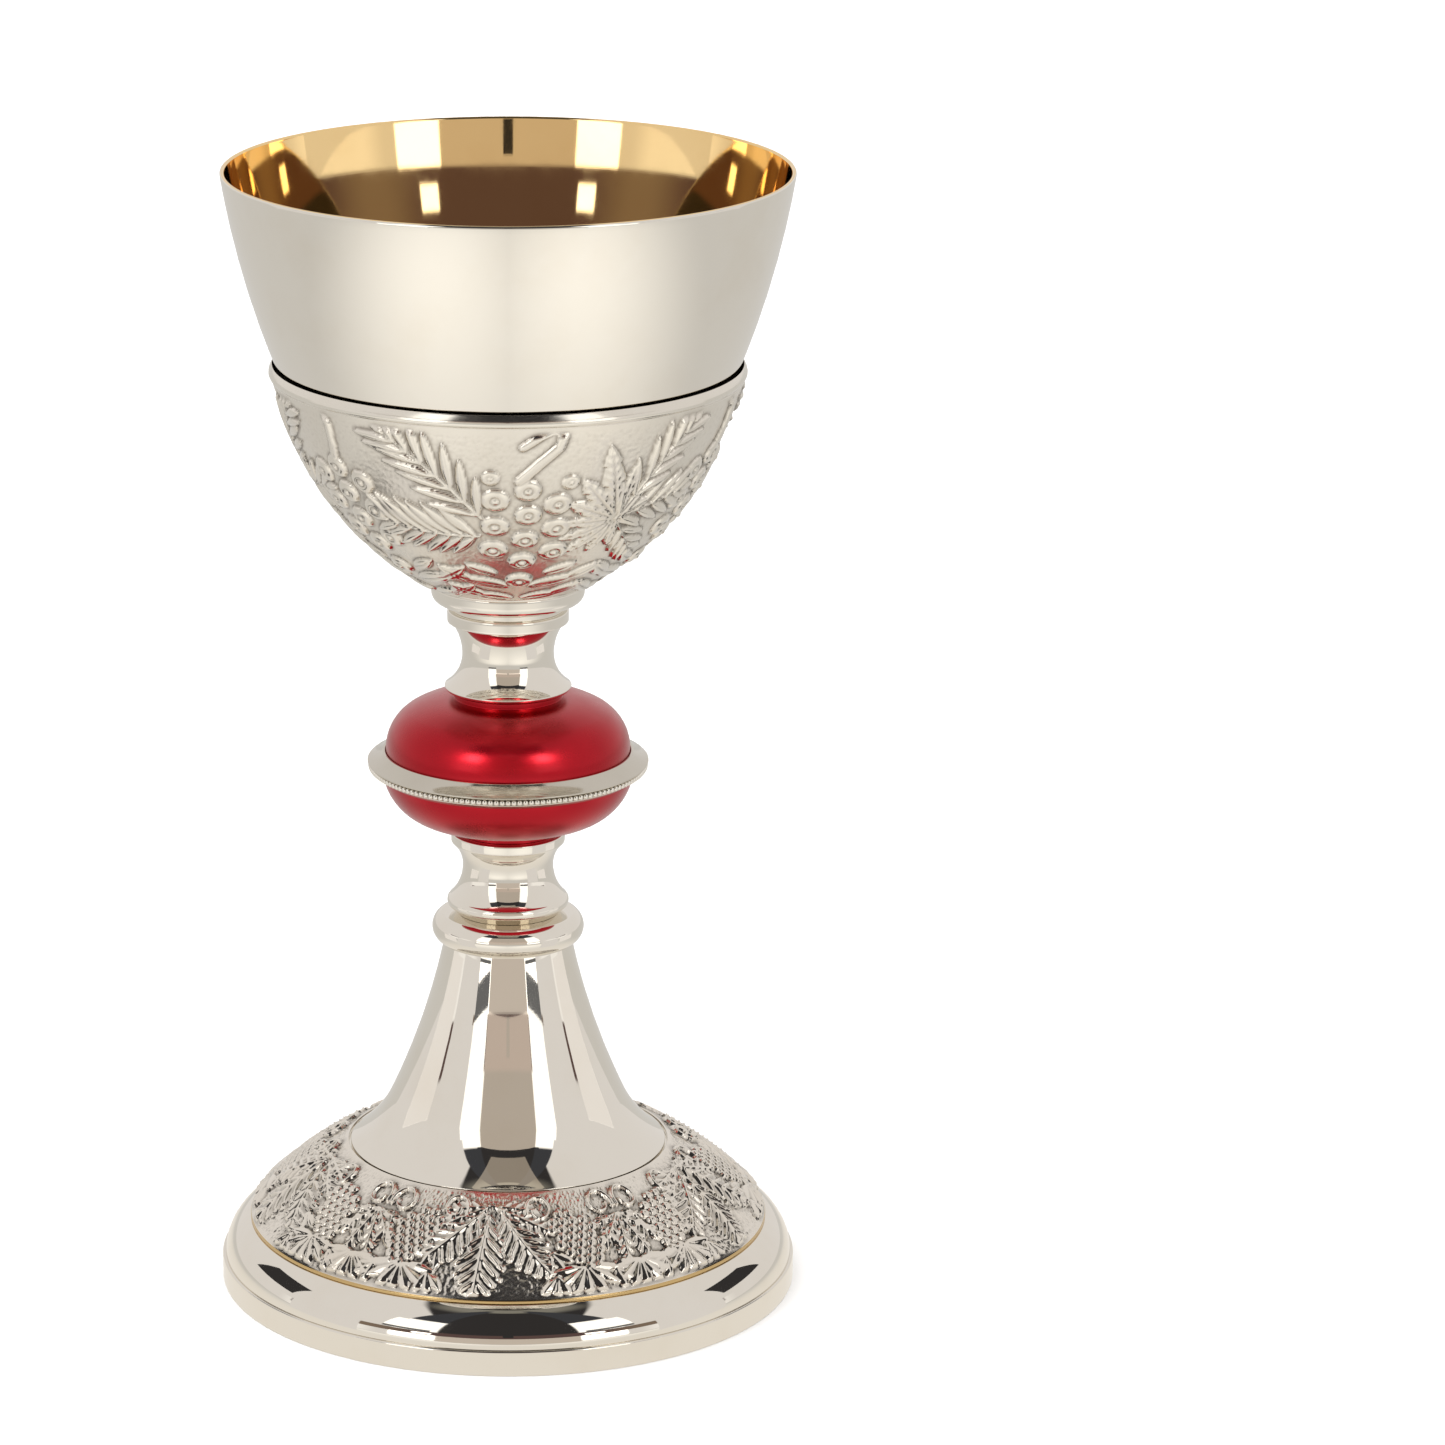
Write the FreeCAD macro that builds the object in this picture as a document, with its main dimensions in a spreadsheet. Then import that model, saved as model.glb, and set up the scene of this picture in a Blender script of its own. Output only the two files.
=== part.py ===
import FreeCAD, Part
import math
import os
import re
import Sketcher

# A communion chalice, in millimetres, built as a stack of spun, turned and pressed
# metal pieces that one tie rod draws together.  +Z is up and is the axis of every
# turned piece.  The origin is the centre of the circle that the foot stands on.
# "r" is a radius from the axis and "z" a height above the surface it stands on.

SIZES = [
    # overall
    ("height", 220.0, "rim of the cup above the table"),
    ("gap", 0.2, "clearance between nested curved skins"),
    # foot ring: the turned band that meets the table
    ("foot_r", 56.05, "outside of the foot ring"),
    ("foot_ring_z", 5.0, "top of the foot ring"),
    ("foot_ring_width", 3.4, "radial width of the foot ring"),
    ("foot_ring_edge", 0.4, "rounding of the foot ring's outer edges"),
    # foot shell: spun shoulder and the cone that carries the relief plate
    ("sheet", 1.0, "thickness of the spun sheet"),
    ("shoulder_r", 55.5, "foot shell at its lower edge"),
    ("shoulder_bow", 8.6, "radius of the polished shoulder"),
    ("ledge_r", 50.7, "outer edge of the ledge that holds the relief plate"),
    ("ledge_z", 12.3, "height of that ledge"),
    ("ledge_width", 1.2, "radial width of that ledge"),
    ("cone_bow", 79.0, "radius of the slight bulge of the foot's cone"),
    ("platform_r", 32.2, "flat top of the foot shell"),
    ("platform_z", 26.8, "height of that flat top"),
    # relief plate: pressed ring with raised vine work
    ("plate_outer_r", 50.5, "outer edge of the relief plate"),
    ("plate_inner_r", 31.15, "inner edge of the relief plate"),
    ("plate_thick", 1.0, "thickness of the relief plate"),
    # trumpet: spun lower stem
    ("trumpet_foot_r", 30.75, "lower edge of the trumpet"),
    ("trumpet_edge", 1.0, "height of the trumpet's lower edge"),
    ("trumpet_flare_r", 22.94, "radius where the flare becomes the stem"),
    ("trumpet_flare_z", 37.0, "height of the same place"),
    ("trumpet_flare_bow", 23.5, "hollow radius of the flare"),
    ("trumpet_stem_bow", 138.5, "hollow radius of the stem above the flare"),
    ("trumpet_top_r", 12.42, "top edge of the trumpet"),
    ("trumpet_top_z", 68.5, "top of the trumpet"),
    # stem ring: turned bead between trumpet and lower spool
    ("stem_ring_seat_r", 12.7, "flat faces of the stem ring"),
    ("stem_ring_top_z", 74.3, "top of the stem ring"),
    ("stem_ring_bow", 3.1, "rounding radius of the stem ring"),
    # lower spool
    ("lower_spool_base_r", 9.8, "lower spool where it meets the stem ring"),
    ("lower_spool_bead_low_z", 75.6, "lower side of its bead"),
    ("lower_spool_bead_top_z", 77.7, "upper side of its bead"),
    ("lower_spool_bead_r", 11.2, "radius at both sides of its bead"),
    ("lower_spool_bead_bow", 1.25, "rounding radius of its bead"),
    ("lower_spool_neck_r", 8.75, "narrowest place"),
    ("lower_spool_neck_z", 83.8, "height of the narrowest place"),
    ("lower_spool_flange_r", 11.0, "top flange"),
    ("lower_spool_flange_z", 88.6, "underside of the top flange"),
    ("lower_spool_top_z", 90.5, "top of the lower spool"),
    # knop: two enamelled shells joined under a silver band
    ("lower_collar_r", 9.6, "step under the knop"),
    ("lower_collar_z", 91.4, "top of that step"),
    ("lower_dome_r", 16.28, "radius where the knop's bottom turns up"),
    ("lower_dome_z", 93.3, "height of the same place"),
    ("lower_dome_flat_bow", 104.8, "bulge of the knop's bottom"),
    ("lower_dome_side_bow", 10.7, "bulge of the knop's lower side"),
    ("knop_low_r", 24.1, "lower shell where it enters the band"),
    ("band_low_z", 102.2, "lower edge of the band"),
    ("knop_skirt_r", 23.5, "skirts of both shells inside the band"),
    ("seam_z", 104.5, "seam between the two shells"),
    ("knop_side_z", 107.4, "height at which the upper shell is widest"),
    ("upper_dome_r", 19.08, "radius where the knop's side turns over"),
    ("upper_dome_z", 114.97, "height of the same place"),
    ("upper_dome_side_bow", 8.85, "bulge of the knop's upper side"),
    ("upper_dome_top_bow", 20.4, "bulge of the knop's top"),
    ("upper_collar_r", 10.4, "step on top of the knop"),
    ("upper_collar_z", 117.5, "bottom of that step"),
    ("knop_top_z", 118.9, "top of that step"),
    # knop band and its beaded wire
    ("band_top_r", 24.1, "inner top edge of the band"),
    ("band_top_z", 106.9, "top of the band"),
    ("band_r", 27.1, "widest place of the band"),
    ("band_wide_z", 104.95, "height of the widest place"),
    ("band_bevel_bow", 7.0, "hollow radius of the upper bevel"),
    ("band_groove_r", 25.75, "bottom of the groove that holds the beaded wire"),
    ("band_groove_top_z", 104.6, "top of that groove"),
    ("band_groove_low_z", 103.3, "bottom of that groove"),
    ("band_lip_r", 25.9, "lip under the groove"),
    ("wire_r", 0.6, "thickness radius of the beaded wire"),
    # spacer tube inside the knop
    ("tube_bore_r", 4.2, "bore of the spacer tube"),
    ("tube_r", 6.0, "outside of the spacer tube"),
    # upper spool
    ("upper_spool_edge_r", 11.5, "upper spool where it meets the knop"),
    ("upper_spool_foot_r", 12.2, "widest place of its foot"),
    ("upper_spool_foot_z", 119.8, "height of the same place"),
    ("upper_spool_foot_bow", 1.1, "rounding of its foot"),
    ("upper_spool_neck_r", 8.8, "narrowest place"),
    ("upper_spool_neck_z", 126.1, "height of the narrowest place"),
    ("upper_spool_cove_r", 10.95, "top of the cove above the neck"),
    ("upper_spool_cove_z", 132.5, "height of the same place"),
    ("upper_spool_flange_r", 11.66, "top flange"),
    ("upper_spool_flange_edge", 0.4, "rounding of that flange's edges"),
    ("upper_spool_top_z", 134.9, "top of the upper spool"),
    # collar under the calyx
    ("collar_neck_r", 10.8, "neck of the collar"),
    ("collar_neck_z", 136.3, "top of that neck"),
    ("collar_under_r", 13.2, "lower edge of the collar's ring"),
    ("collar_under_z", 136.5, "height of the same place"),
    ("collar_under_bow", 2.0, "rounding under the collar's ring"),
    ("collar_r", 14.7, "collar's ring"),
    ("collar_low_z", 138.3, "height where its straight side begins"),
    ("collar_top_z", 140.0, "top of the collar"),
    ("collar_edge", 0.35, "rounding of its top edge"),
    # calyx: pressed bowl with raised wheat and vine work
    ("calyx_base_r", 15.1, "calyx at its lower edge"),
    ("calyx_base_edge", 0.4, "height of the straight lower edge"),
    ("calyx_mid_r", 36.5, "radius where its curve eases"),
    ("calyx_mid_z", 161.3, "height of the same place"),
    ("calyx_low_bow", 60.1, "bulge below that place"),
    ("calyx_high_bow", 91.9, "bulge above that place"),
    ("calyx_top_r", 44.8, "calyx just under its lip"),
    ("calyx_top_z", 180.7, "height of the same place"),
    ("calyx_lip_z", 183.2, "top of the lip"),
    ("calyx_lip_bow", 1.42, "rounding of the lip"),
    ("calyx_inner_r", 43.75, "inside of the calyx under the lip"),
    ("calyx_thick", 0.9, "thickness of the calyx"),
    # cup
    ("cup_rim_r", 54.05, "outside of the rim"),
    ("cup_wall", 0.9, "thickness of the cup"),
    ("cup_side_bow", 171.3, "bulge of the cup's side"),
    ("cup_waist_r", 43.6, "outside of the cup where the calyx begins"),
    ("cup_waist_z", 182.0, "height of the same place"),
    ("cup_turn_r", 33.6, "outside of the hidden bowl where it turns in"),
    ("cup_turn_z", 161.6, "height of the same place"),
    ("cup_hidden_bow", 100.0, "bulge of the hidden wall"),
    ("cup_floor_bow", 40.0, "bulge of the bowl's bottom"),
    ("cup_flat_r", 8.0, "flat under the cup where the boss is soldered"),
    ("cup_flat_z", 146.0, "height of that flat"),
    # boss under the cup, and the tie rod's parts
    ("boss_r", 7.0, "head of the threaded boss"),
    ("boss_spigot_r", 5.0, "spigot that centres calyx and collar"),
    ("boss_spigot_low_z", 136.0, "lower end of the spigot"),
    ("boss_bore_top_z", 144.5, "end of the boss's blind bore"),
    ("spigot_hole_r", 5.1, "holes that take the spigot"),
    ("rod_r", 3.0, "tie rod"),
    ("rod_hole_r", 3.3, "holes that the tie rod passes"),
    ("rod_low_z", 15.6, "lower end of the tie rod"),
    ("rod_chamfer", 0.6, "chamfer of the rod's ends"),
    ("washer_r", 16.0, "clamp washer under the foot"),
    ("washer_thick", 1.6, "thickness of the clamp washer"),
    ("spring_r", 5.6, "outside of the spring washer"),
    ("spring_thick", 1.6, "thickness of the spring washer"),
    ("spring_slot", 1.0, "width of the split in the spring washer"),
    ("nut_flats", 10.0, "width across the flats of the nut"),
    ("nut_thick", 5.0, "thickness of the nut"),
    ("nut_chamfer", 0.7, "chamfer of the nut's corners"),
    ("rod_fit", 0.05, "radial play of the rod in its nut and boss"),
]

doc = FreeCAD.newDocument("Chalice")
sheet = doc.addObject("Spreadsheet::Sheet", "Sizes")
for row, (alias, number, meaning) in enumerate(SIZES, start=1):
    sheet.set("A%d" % row, alias)
    sheet.set("B%d" % row, str(number))
    sheet.set("C%d" % row, meaning)
    sheet.setAlias("B%d" % row, alias)
doc.recompute()


def bound(formula):
    """The formula with each size name pointed at the sheet."""
    return re.sub(r"[a-z]\w*(?!\w*\()", lambda name: "Sizes." + name.group(0), formula)


def value(formula):
    """The number that a formula of size names gives."""
    return float(sheet.evalExpression(bound(formula)))


def tie(thing, size, formula):
    """Bind one property or constraint of an object to the sheet."""
    thing.setExpression(size, bound(formula))


def origin_part(body, role):
    """The plane or axis of a body's own origin that has this role."""
    return [feature for feature in body.Origin.OriginFeatures if feature.Role == role][0]


def new_sketch(body, name, role):
    sketch = body.newObject("Sketcher::SketchObject", name)
    sketch.AttachmentSupport = [(origin_part(body, role), "")]
    sketch.MapMode = "FlatFace"
    return sketch


# An outline is a closed run of corners, counter-clockwise in the half-plane with r to
# the right and z up.  Each corner is (r, z, shape of the edge to the next corner).

START = 1
END = 2
ORIGIN_AXES = {"X": -2, "Y": -1}


def to(r, z):
    """A corner followed by a straight edge."""
    return (r, z, None, 0)


def bulge(r, z, bow):
    """A corner followed by an arc that swells out of the solid."""
    return (r, z, bow, 1)


def hollow(r, z, bow):
    """A corner followed by an arc that cuts into the solid."""
    return (r, z, bow, -1)


def arc_centre(here, ahead, bow, side):
    """The centre of the short arc of radius bow: side 1 is left of the way, -1 right."""
    way = ahead - here
    rise = math.sqrt(bow ** 2 - (way.Length / 2) ** 2)
    left = FreeCAD.Vector(-way.y, way.x, 0).normalize()
    return (here + ahead) / 2 + left * rise * side


def hollow_bow(edge_r, edge_z, neck_r, neck_z):
    """Radius of the arc that runs to an edge from a neck where the side is upright."""
    out = "(%s - %s)" % (edge_r, neck_r)
    rise = "(%s - %s)" % (edge_z, neck_z)
    return "(%s * %s + %s * %s) / (2 * %s)" % (out, out, rise, rise, out)


def pin_down(sketch, edge, end, direction, formula):
    """Fix one coordinate of an edge's end by a size, or by the axis where it is zero."""
    if formula == "0":
        sketch.addConstraint(Sketcher.Constraint("PointOnObject", edge, end, ORIGIN_AXES[direction]))
        return
    index = sketch.addConstraint(Sketcher.Constraint("Distance" + direction, edge, end, value(formula)))
    tie(sketch, "Constraints[%d]" % index, formula)


def draw_outline(sketch, corners):
    places = [FreeCAD.Vector(value(r), value(z), 0) for r, z, bow, side in corners]
    ends = []
    for index, (r, z, bow, side) in enumerate(corners):
        here = places[index]
        ahead = places[(index + 1) % len(places)]
        if bow is None:
            edge = sketch.addGeometry(Part.LineSegment(here, ahead), False)
            ends.append((edge, START, END))
            continue
        centre = arc_centre(here, ahead, value(bow), side)
        first, last = (here, ahead) if side > 0 else (ahead, here)
        circle = Part.Circle(centre, FreeCAD.Vector(0, 0, 1), value(bow))
        start_angle = math.atan2(first.y - centre.y, first.x - centre.x)
        end_angle = math.atan2(last.y - centre.y, last.x - centre.x)
        edge = sketch.addGeometry(Part.ArcOfCircle(circle, start_angle, end_angle), False)
        ends.append((edge, START, END) if side > 0 else (edge, END, START))
    for index, (r, z, bow, side) in enumerate(corners):
        edge, start, end = ends[index]
        before, before_start, before_end = ends[index - 1]
        sketch.addConstraint(Sketcher.Constraint("Coincident", before, before_end, edge, start))
        pin_down(sketch, edge, start, "X", r)
        pin_down(sketch, edge, start, "Y", z)
    for (edge, start, end), (r, z, bow, side) in zip(ends, corners):
        if bow is not None:
            index = sketch.addConstraint(Sketcher.Constraint("Radius", edge, value(bow)))
            tie(sketch, "Constraints[%d]" % index, bow)


def turned(label, corners):
    """A piece turned about the Z axis from an outline."""
    body = doc.addObject("PartDesign::Body", label)
    sketch = new_sketch(body, label + "_outline", "XZ_Plane")
    draw_outline(sketch, corners)
    spin = body.newObject("PartDesign::Revolution", label + "_turned")
    spin.Profile = sketch
    spin.ReferenceAxis = (sketch, ["V_Axis"])
    spin.Angle = 360
    sketch.Visibility = False
    doc.recompute()
    return body


def foot_ring():
    inner = "foot_r - foot_ring_width"
    return turned("foot_ring", [
        to(inner, "0"),
        bulge("foot_r - foot_ring_edge", "0", "foot_ring_edge"),
        to("foot_r", "foot_ring_edge"),
        bulge("foot_r", "foot_ring_z - foot_ring_edge", "foot_ring_edge"),
        to("foot_r - foot_ring_edge", "foot_ring_z"),
        to(inner, "foot_ring_z"),
    ])


def foot_shell():
    """Shoulder, ledge, cone and flat top, all of one spun sheet."""
    return turned("foot_shell", [
        to("shoulder_r - 1.4 * sheet", "foot_ring_z"),
        bulge("shoulder_r", "foot_ring_z", "shoulder_bow"),
        to("ledge_r", "ledge_z"),
        bulge("ledge_r - ledge_width", "ledge_z", "cone_bow"),
        to("platform_r", "platform_z"),
        to("rod_hole_r", "platform_z"),
        to("rod_hole_r", "platform_z - sheet"),
        hollow("platform_r - sheet / 2", "platform_z - sheet", "cone_bow"),
        hollow("ledge_r - ledge_width - sheet", "ledge_z - sheet", "shoulder_bow"),
    ])


def foot_relief_plate():
    """Cone-shaped ring that touches the foot shell only on the ledge and the flat top."""
    return turned("foot_relief_plate", [
        to("ledge_r - ledge_width + gap", "ledge_z"),
        to("plate_outer_r", "ledge_z"),
        bulge("plate_outer_r", "ledge_z + plate_thick * 0.7", "cone_bow"),
        to("plate_inner_r", "platform_z + plate_thick"),
        to("plate_inner_r", "platform_z"),
        hollow("platform_r + gap", "platform_z", "cone_bow"),
    ])


def foot_trumpet():
    """Spun trumpet with a turned-in top that carries the stem ring."""
    edge_top = "platform_z + trumpet_edge"
    return turned("foot_trumpet", [
        to("trumpet_foot_r - 2 * sheet", "platform_z"),
        to("trumpet_foot_r", "platform_z"),
        hollow("trumpet_foot_r", edge_top, "trumpet_flare_bow"),
        hollow("trumpet_flare_r", "trumpet_flare_z", "trumpet_stem_bow"),
        to("trumpet_top_r", "trumpet_top_z"),
        to("rod_hole_r", "trumpet_top_z"),
        to("rod_hole_r", "trumpet_top_z - 2 * sheet"),
        bulge("trumpet_top_r - 1.6 * sheet", "trumpet_top_z - 2 * sheet", "trumpet_stem_bow"),
        bulge("trumpet_flare_r - sheet", "trumpet_flare_z", "trumpet_flare_bow"),
    ])


def stem_ring():
    return turned("stem_ring", [
        to("rod_hole_r", "trumpet_top_z"),
        bulge("stem_ring_seat_r", "trumpet_top_z", "stem_ring_bow"),
        to("stem_ring_seat_r", "stem_ring_top_z"),
        to("rod_hole_r", "stem_ring_top_z"),
    ])


def lower_spool():
    neck = ("lower_spool_neck_r", "lower_spool_neck_z")
    lower_bow = hollow_bow("lower_spool_bead_r", "lower_spool_bead_top_z", *neck)
    upper_bow = hollow_bow("lower_spool_flange_r", "lower_spool_flange_z", *neck)
    return turned("lower_spool", [
        to("rod_hole_r", "stem_ring_top_z"),
        to("lower_spool_base_r", "stem_ring_top_z"),
        bulge("lower_spool_bead_r", "lower_spool_bead_low_z", "lower_spool_bead_bow"),
        hollow("lower_spool_bead_r", "lower_spool_bead_top_z", lower_bow),
        hollow("lower_spool_neck_r", "lower_spool_neck_z", upper_bow),
        to("lower_spool_flange_r", "lower_spool_flange_z"),
        to("lower_spool_flange_r", "lower_spool_top_z - 0.4"),
        to("lower_spool_flange_r - 0.4", "lower_spool_top_z"),
        to("rod_hole_r", "lower_spool_top_z"),
    ])


def knop_lower_shell():
    """Lower half of the knop, with its step below and a skirt inside the band."""
    return turned("knop_lower_shell", [
        to("rod_hole_r", "lower_spool_top_z"),
        to("lower_collar_r", "lower_spool_top_z"),
        bulge("lower_collar_r", "lower_collar_z", "lower_dome_flat_bow"),
        bulge("lower_dome_r", "lower_dome_z", "lower_dome_side_bow"),
        to("knop_low_r", "band_low_z"),
        to("knop_skirt_r", "band_low_z"),
        to("knop_skirt_r", "seam_z"),
        to("knop_skirt_r - sheet", "seam_z"),
        hollow("knop_skirt_r - sheet", "band_low_z", "lower_dome_side_bow"),
        to("lower_dome_r - 0.3 * sheet", "lower_dome_z + sheet"),
        to("tube_r + sheet", "lower_collar_z + sheet"),
        to("rod_hole_r", "lower_collar_z + sheet"),
    ])


def knop_upper_shell():
    """Upper half of the knop, with its step on top and a skirt inside the band."""
    return turned("knop_upper_shell", [
        to("knop_skirt_r - sheet", "seam_z"),
        to("knop_skirt_r", "seam_z"),
        bulge("knop_skirt_r", "knop_side_z", "upper_dome_side_bow"),
        bulge("upper_dome_r", "upper_dome_z", "upper_dome_top_bow"),
        to("upper_collar_r", "upper_collar_z"),
        to("upper_collar_r", "knop_top_z"),
        to("rod_hole_r", "knop_top_z"),
        to("rod_hole_r", "upper_collar_z - 1.4 * sheet"),
        hollow("upper_collar_r", "upper_collar_z - 1.4 * sheet", "upper_dome_top_bow"),
        hollow("upper_dome_r - 0.7 * sheet", "upper_dome_z - sheet", "upper_dome_side_bow"),
        to("knop_skirt_r - sheet", "knop_side_z"),
    ])


def knop_band():
    """Silver band over the seam, with a hollow bevel above and a groove for the beading."""
    return turned("knop_band", [
        to("knop_skirt_r", "band_low_z"),
        to("knop_low_r + 0.5", "band_low_z"),
        to("band_lip_r", "band_groove_low_z - 0.2"),
        to("band_lip_r", "band_groove_low_z"),
        to("band_groove_r", "band_groove_low_z"),
        to("band_groove_r", "band_groove_top_z"),
        to("band_r - 0.2", "band_groove_top_z"),
        hollow("band_r", "band_wide_z", "band_bevel_bow"),
        to("band_top_r", "band_top_z"),
        to("knop_skirt_r + 0.15", "band_top_z"),
        to("knop_skirt_r", "band_top_z - 0.4"),
    ])


def knop_bead_wire():
    """The ring of wire that is rolled into beads, seated in the band's groove."""
    wire = doc.addObject("Part::Torus", "knop_bead_wire")
    tie(wire, "Radius1", "band_groove_r + wire_r")
    tie(wire, "Radius2", "wire_r")
    tie(wire, "Placement.Base.z", "(band_groove_low_z + band_groove_top_z) / 2")
    return wire


def knop_spacer_tube():
    """Tube round the rod that takes the clamping load past the thin knop shells."""
    low = "lower_collar_z + sheet"
    top = "upper_collar_z - 1.4 * sheet"
    return turned("knop_spacer_tube", [
        to("tube_bore_r", low),
        to("tube_r", low),
        to("tube_r", top),
        to("tube_bore_r", top),
    ])


def upper_spool():
    neck = ("upper_spool_neck_r", "upper_spool_neck_z")
    foot_bow = hollow_bow("upper_spool_foot_r", "upper_spool_foot_z", *neck)
    cove_bow = hollow_bow("upper_spool_cove_r", "upper_spool_cove_z", *neck)
    flange_edge = "upper_spool_flange_r - upper_spool_flange_edge"
    flange_round_z = "upper_spool_top_z - upper_spool_flange_edge"
    return turned("upper_spool", [
        to("rod_hole_r", "knop_top_z"),
        bulge("upper_spool_edge_r", "knop_top_z", "upper_spool_foot_bow"),
        hollow("upper_spool_foot_r", "upper_spool_foot_z", foot_bow),
        hollow("upper_spool_neck_r", "upper_spool_neck_z", cove_bow),
        to("upper_spool_cove_r", "upper_spool_cove_z"),
        bulge(flange_edge, "upper_spool_cove_z", "upper_spool_flange_edge"),
        to("upper_spool_flange_r", "upper_spool_cove_z + upper_spool_flange_edge"),
        bulge("upper_spool_flange_r", flange_round_z, "upper_spool_flange_edge"),
        to(flange_edge, "upper_spool_top_z"),
        to("rod_hole_r", "upper_spool_top_z"),
    ])


def calyx_collar():
    """Turned ring that carries the calyx, bored for the boss's spigot."""
    return turned("calyx_collar", [
        to("rod_hole_r", "upper_spool_top_z"),
        to("collar_neck_r", "upper_spool_top_z"),
        to("collar_neck_r", "collar_neck_z"),
        bulge("collar_under_r", "collar_under_z", "collar_under_bow"),
        to("collar_r", "collar_low_z"),
        bulge("collar_r", "collar_top_z - collar_edge", "collar_edge"),
        to("collar_r - collar_edge", "collar_top_z"),
        to("spigot_hole_r", "collar_top_z"),
        to("spigot_hole_r", "boss_spigot_low_z"),
        to("rod_hole_r", "boss_spigot_low_z"),
    ])


def calyx():
    """Pressed bowl round the lower half of the cup, with a rolled lip."""
    floor = "collar_top_z + calyx_thick"
    return turned("calyx", [
        to("spigot_hole_r", "collar_top_z"),
        to("calyx_base_r", "collar_top_z"),
        bulge("calyx_base_r", "collar_top_z + calyx_base_edge", "calyx_low_bow"),
        bulge("calyx_mid_r", "calyx_mid_z", "calyx_high_bow"),
        bulge("calyx_top_r", "calyx_top_z", "calyx_lip_bow"),
        to("cup_waist_r + 0.85", "calyx_lip_z"),
        to("cup_waist_r + 0.7", "calyx_lip_z - 0.5"),
        hollow("calyx_inner_r", "calyx_top_z", "calyx_high_bow"),
        hollow("calyx_mid_r - calyx_thick", "calyx_mid_z + 0.3", "calyx_low_bow"),
        to("calyx_base_r - 0.3", floor),
        to("spigot_hole_r", floor),
    ])


def cup():
    """Bowl: a bulging side, a hidden wall inside the calyx, and a flat for the boss."""
    inner_flat_z = "cup_flat_z + cup_wall"
    return turned("cup", [
        to("0", "cup_flat_z"),
        bulge("cup_flat_r", "cup_flat_z", "cup_floor_bow"),
        bulge("cup_turn_r", "cup_turn_z", "cup_hidden_bow"),
        bulge("cup_waist_r", "cup_waist_z", "cup_side_bow"),
        bulge("cup_rim_r", "height - cup_wall / 2", "cup_wall / 2"),
        bulge("cup_rim_r - cup_wall / 2", "height", "cup_wall / 2"),
        hollow("cup_rim_r - cup_wall", "height - cup_wall / 2", "cup_side_bow"),
        hollow("cup_waist_r - cup_wall", "cup_waist_z", "cup_hidden_bow"),
        hollow("cup_turn_r - 0.8 * cup_wall", "cup_turn_z + cup_wall / 2", "cup_floor_bow"),
        to("cup_flat_r", inner_flat_z),
        to("0", inner_flat_z),
    ])


def cup_boss():
    """Threaded boss soldered under the cup; its spigot centres calyx and collar."""
    shoulder = "collar_top_z + calyx_thick"
    bore = "rod_r + rod_fit"
    return turned("cup_boss", [
        to(bore, "boss_spigot_low_z"),
        to("boss_spigot_r", "boss_spigot_low_z"),
        to("boss_spigot_r", shoulder),
        to("boss_r", shoulder),
        to("boss_r", "cup_flat_z"),
        to("0", "cup_flat_z"),
        to("0", "boss_bore_top_z"),
        to(bore, "boss_bore_top_z"),
    ])


def tie_rod():
    """Rod from the boss to the nut, chamfered at both ends."""
    return turned("tie_rod", [
        to("0", "rod_low_z"),
        to("rod_r - rod_chamfer", "rod_low_z"),
        to("rod_r", "rod_low_z + rod_chamfer"),
        to("rod_r", "boss_bore_top_z - rod_chamfer"),
        to("rod_r - rod_chamfer", "boss_bore_top_z"),
        to("0", "boss_bore_top_z"),
    ])


WASHER_TOP = "platform_z - sheet"
SPRING_TOP = "platform_z - sheet - washer_thick"
NUT_TOP = "platform_z - sheet - washer_thick - spring_thick"


def cylinder(name, radius, height, low):
    solid = doc.addObject("Part::Cylinder", name)
    tie(solid, "Radius", radius)
    tie(solid, "Height", height)
    tie(solid, "Placement.Base.z", low)
    return solid


def cut(label, base, tool):
    piece = doc.addObject("Part::Cut", label)
    piece.Base = base
    piece.Tool = tool
    return piece


def clamp_washer():
    """Wide washer that spreads the nut's load over the foot shell."""
    low = WASHER_TOP + " - washer_thick"
    disc = cylinder("clamp_washer_disc", "washer_r", "washer_thick", low)
    hole = cylinder("clamp_washer_hole", "rod_hole_r", "washer_thick", low)
    return cut("clamp_washer", disc, hole)


def spring_washer():
    """Split washer that keeps the nut from working loose."""
    low = SPRING_TOP + " - spring_thick"
    disc = cylinder("spring_washer_disc", "spring_r", "spring_thick", low)
    hole = cylinder("spring_washer_hole", "rod_hole_r", "spring_thick", low)
    ring = cut("spring_washer_ring", disc, hole)
    slot = doc.addObject("Part::Box", "spring_washer_slot")
    tie(slot, "Length", "spring_r")
    tie(slot, "Width", "spring_slot")
    tie(slot, "Height", "spring_thick")
    tie(slot, "Placement.Base.y", "-spring_slot / 2")
    tie(slot, "Placement.Base.z", low)
    return cut("spring_washer", ring, slot)


def tie_nut():
    """Hexagon nut with its corners chamfered."""
    low = NUT_TOP + " - nut_thick"
    prism = doc.addObject("Part::Prism", "tie_nut_prism")
    prism.Polygon = 6
    tie(prism, "Circumradius", "nut_flats / 2 / cos(30)")
    tie(prism, "Height", "nut_thick")
    tie(prism, "Placement.Base.z", low)
    corner_r = "nut_flats / 2 / cos(30)"
    blank = turned("tie_nut_blank", [
        to("0", low),
        to(corner_r + " - nut_chamfer", low),
        to(corner_r, low + " + nut_chamfer / 2"),
        to(corner_r, NUT_TOP + " - nut_chamfer / 2"),
        to(corner_r + " - nut_chamfer", NUT_TOP),
        to("0", NUT_TOP),
    ])
    chamfered = doc.addObject("Part::Common", "tie_nut_chamfered")
    chamfered.Base = prism
    chamfered.Tool = blank
    hole = cylinder("tie_nut_hole", "rod_r + rod_fit", "nut_thick", low)
    return cut("tie_nut", chamfered, hole)


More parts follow.
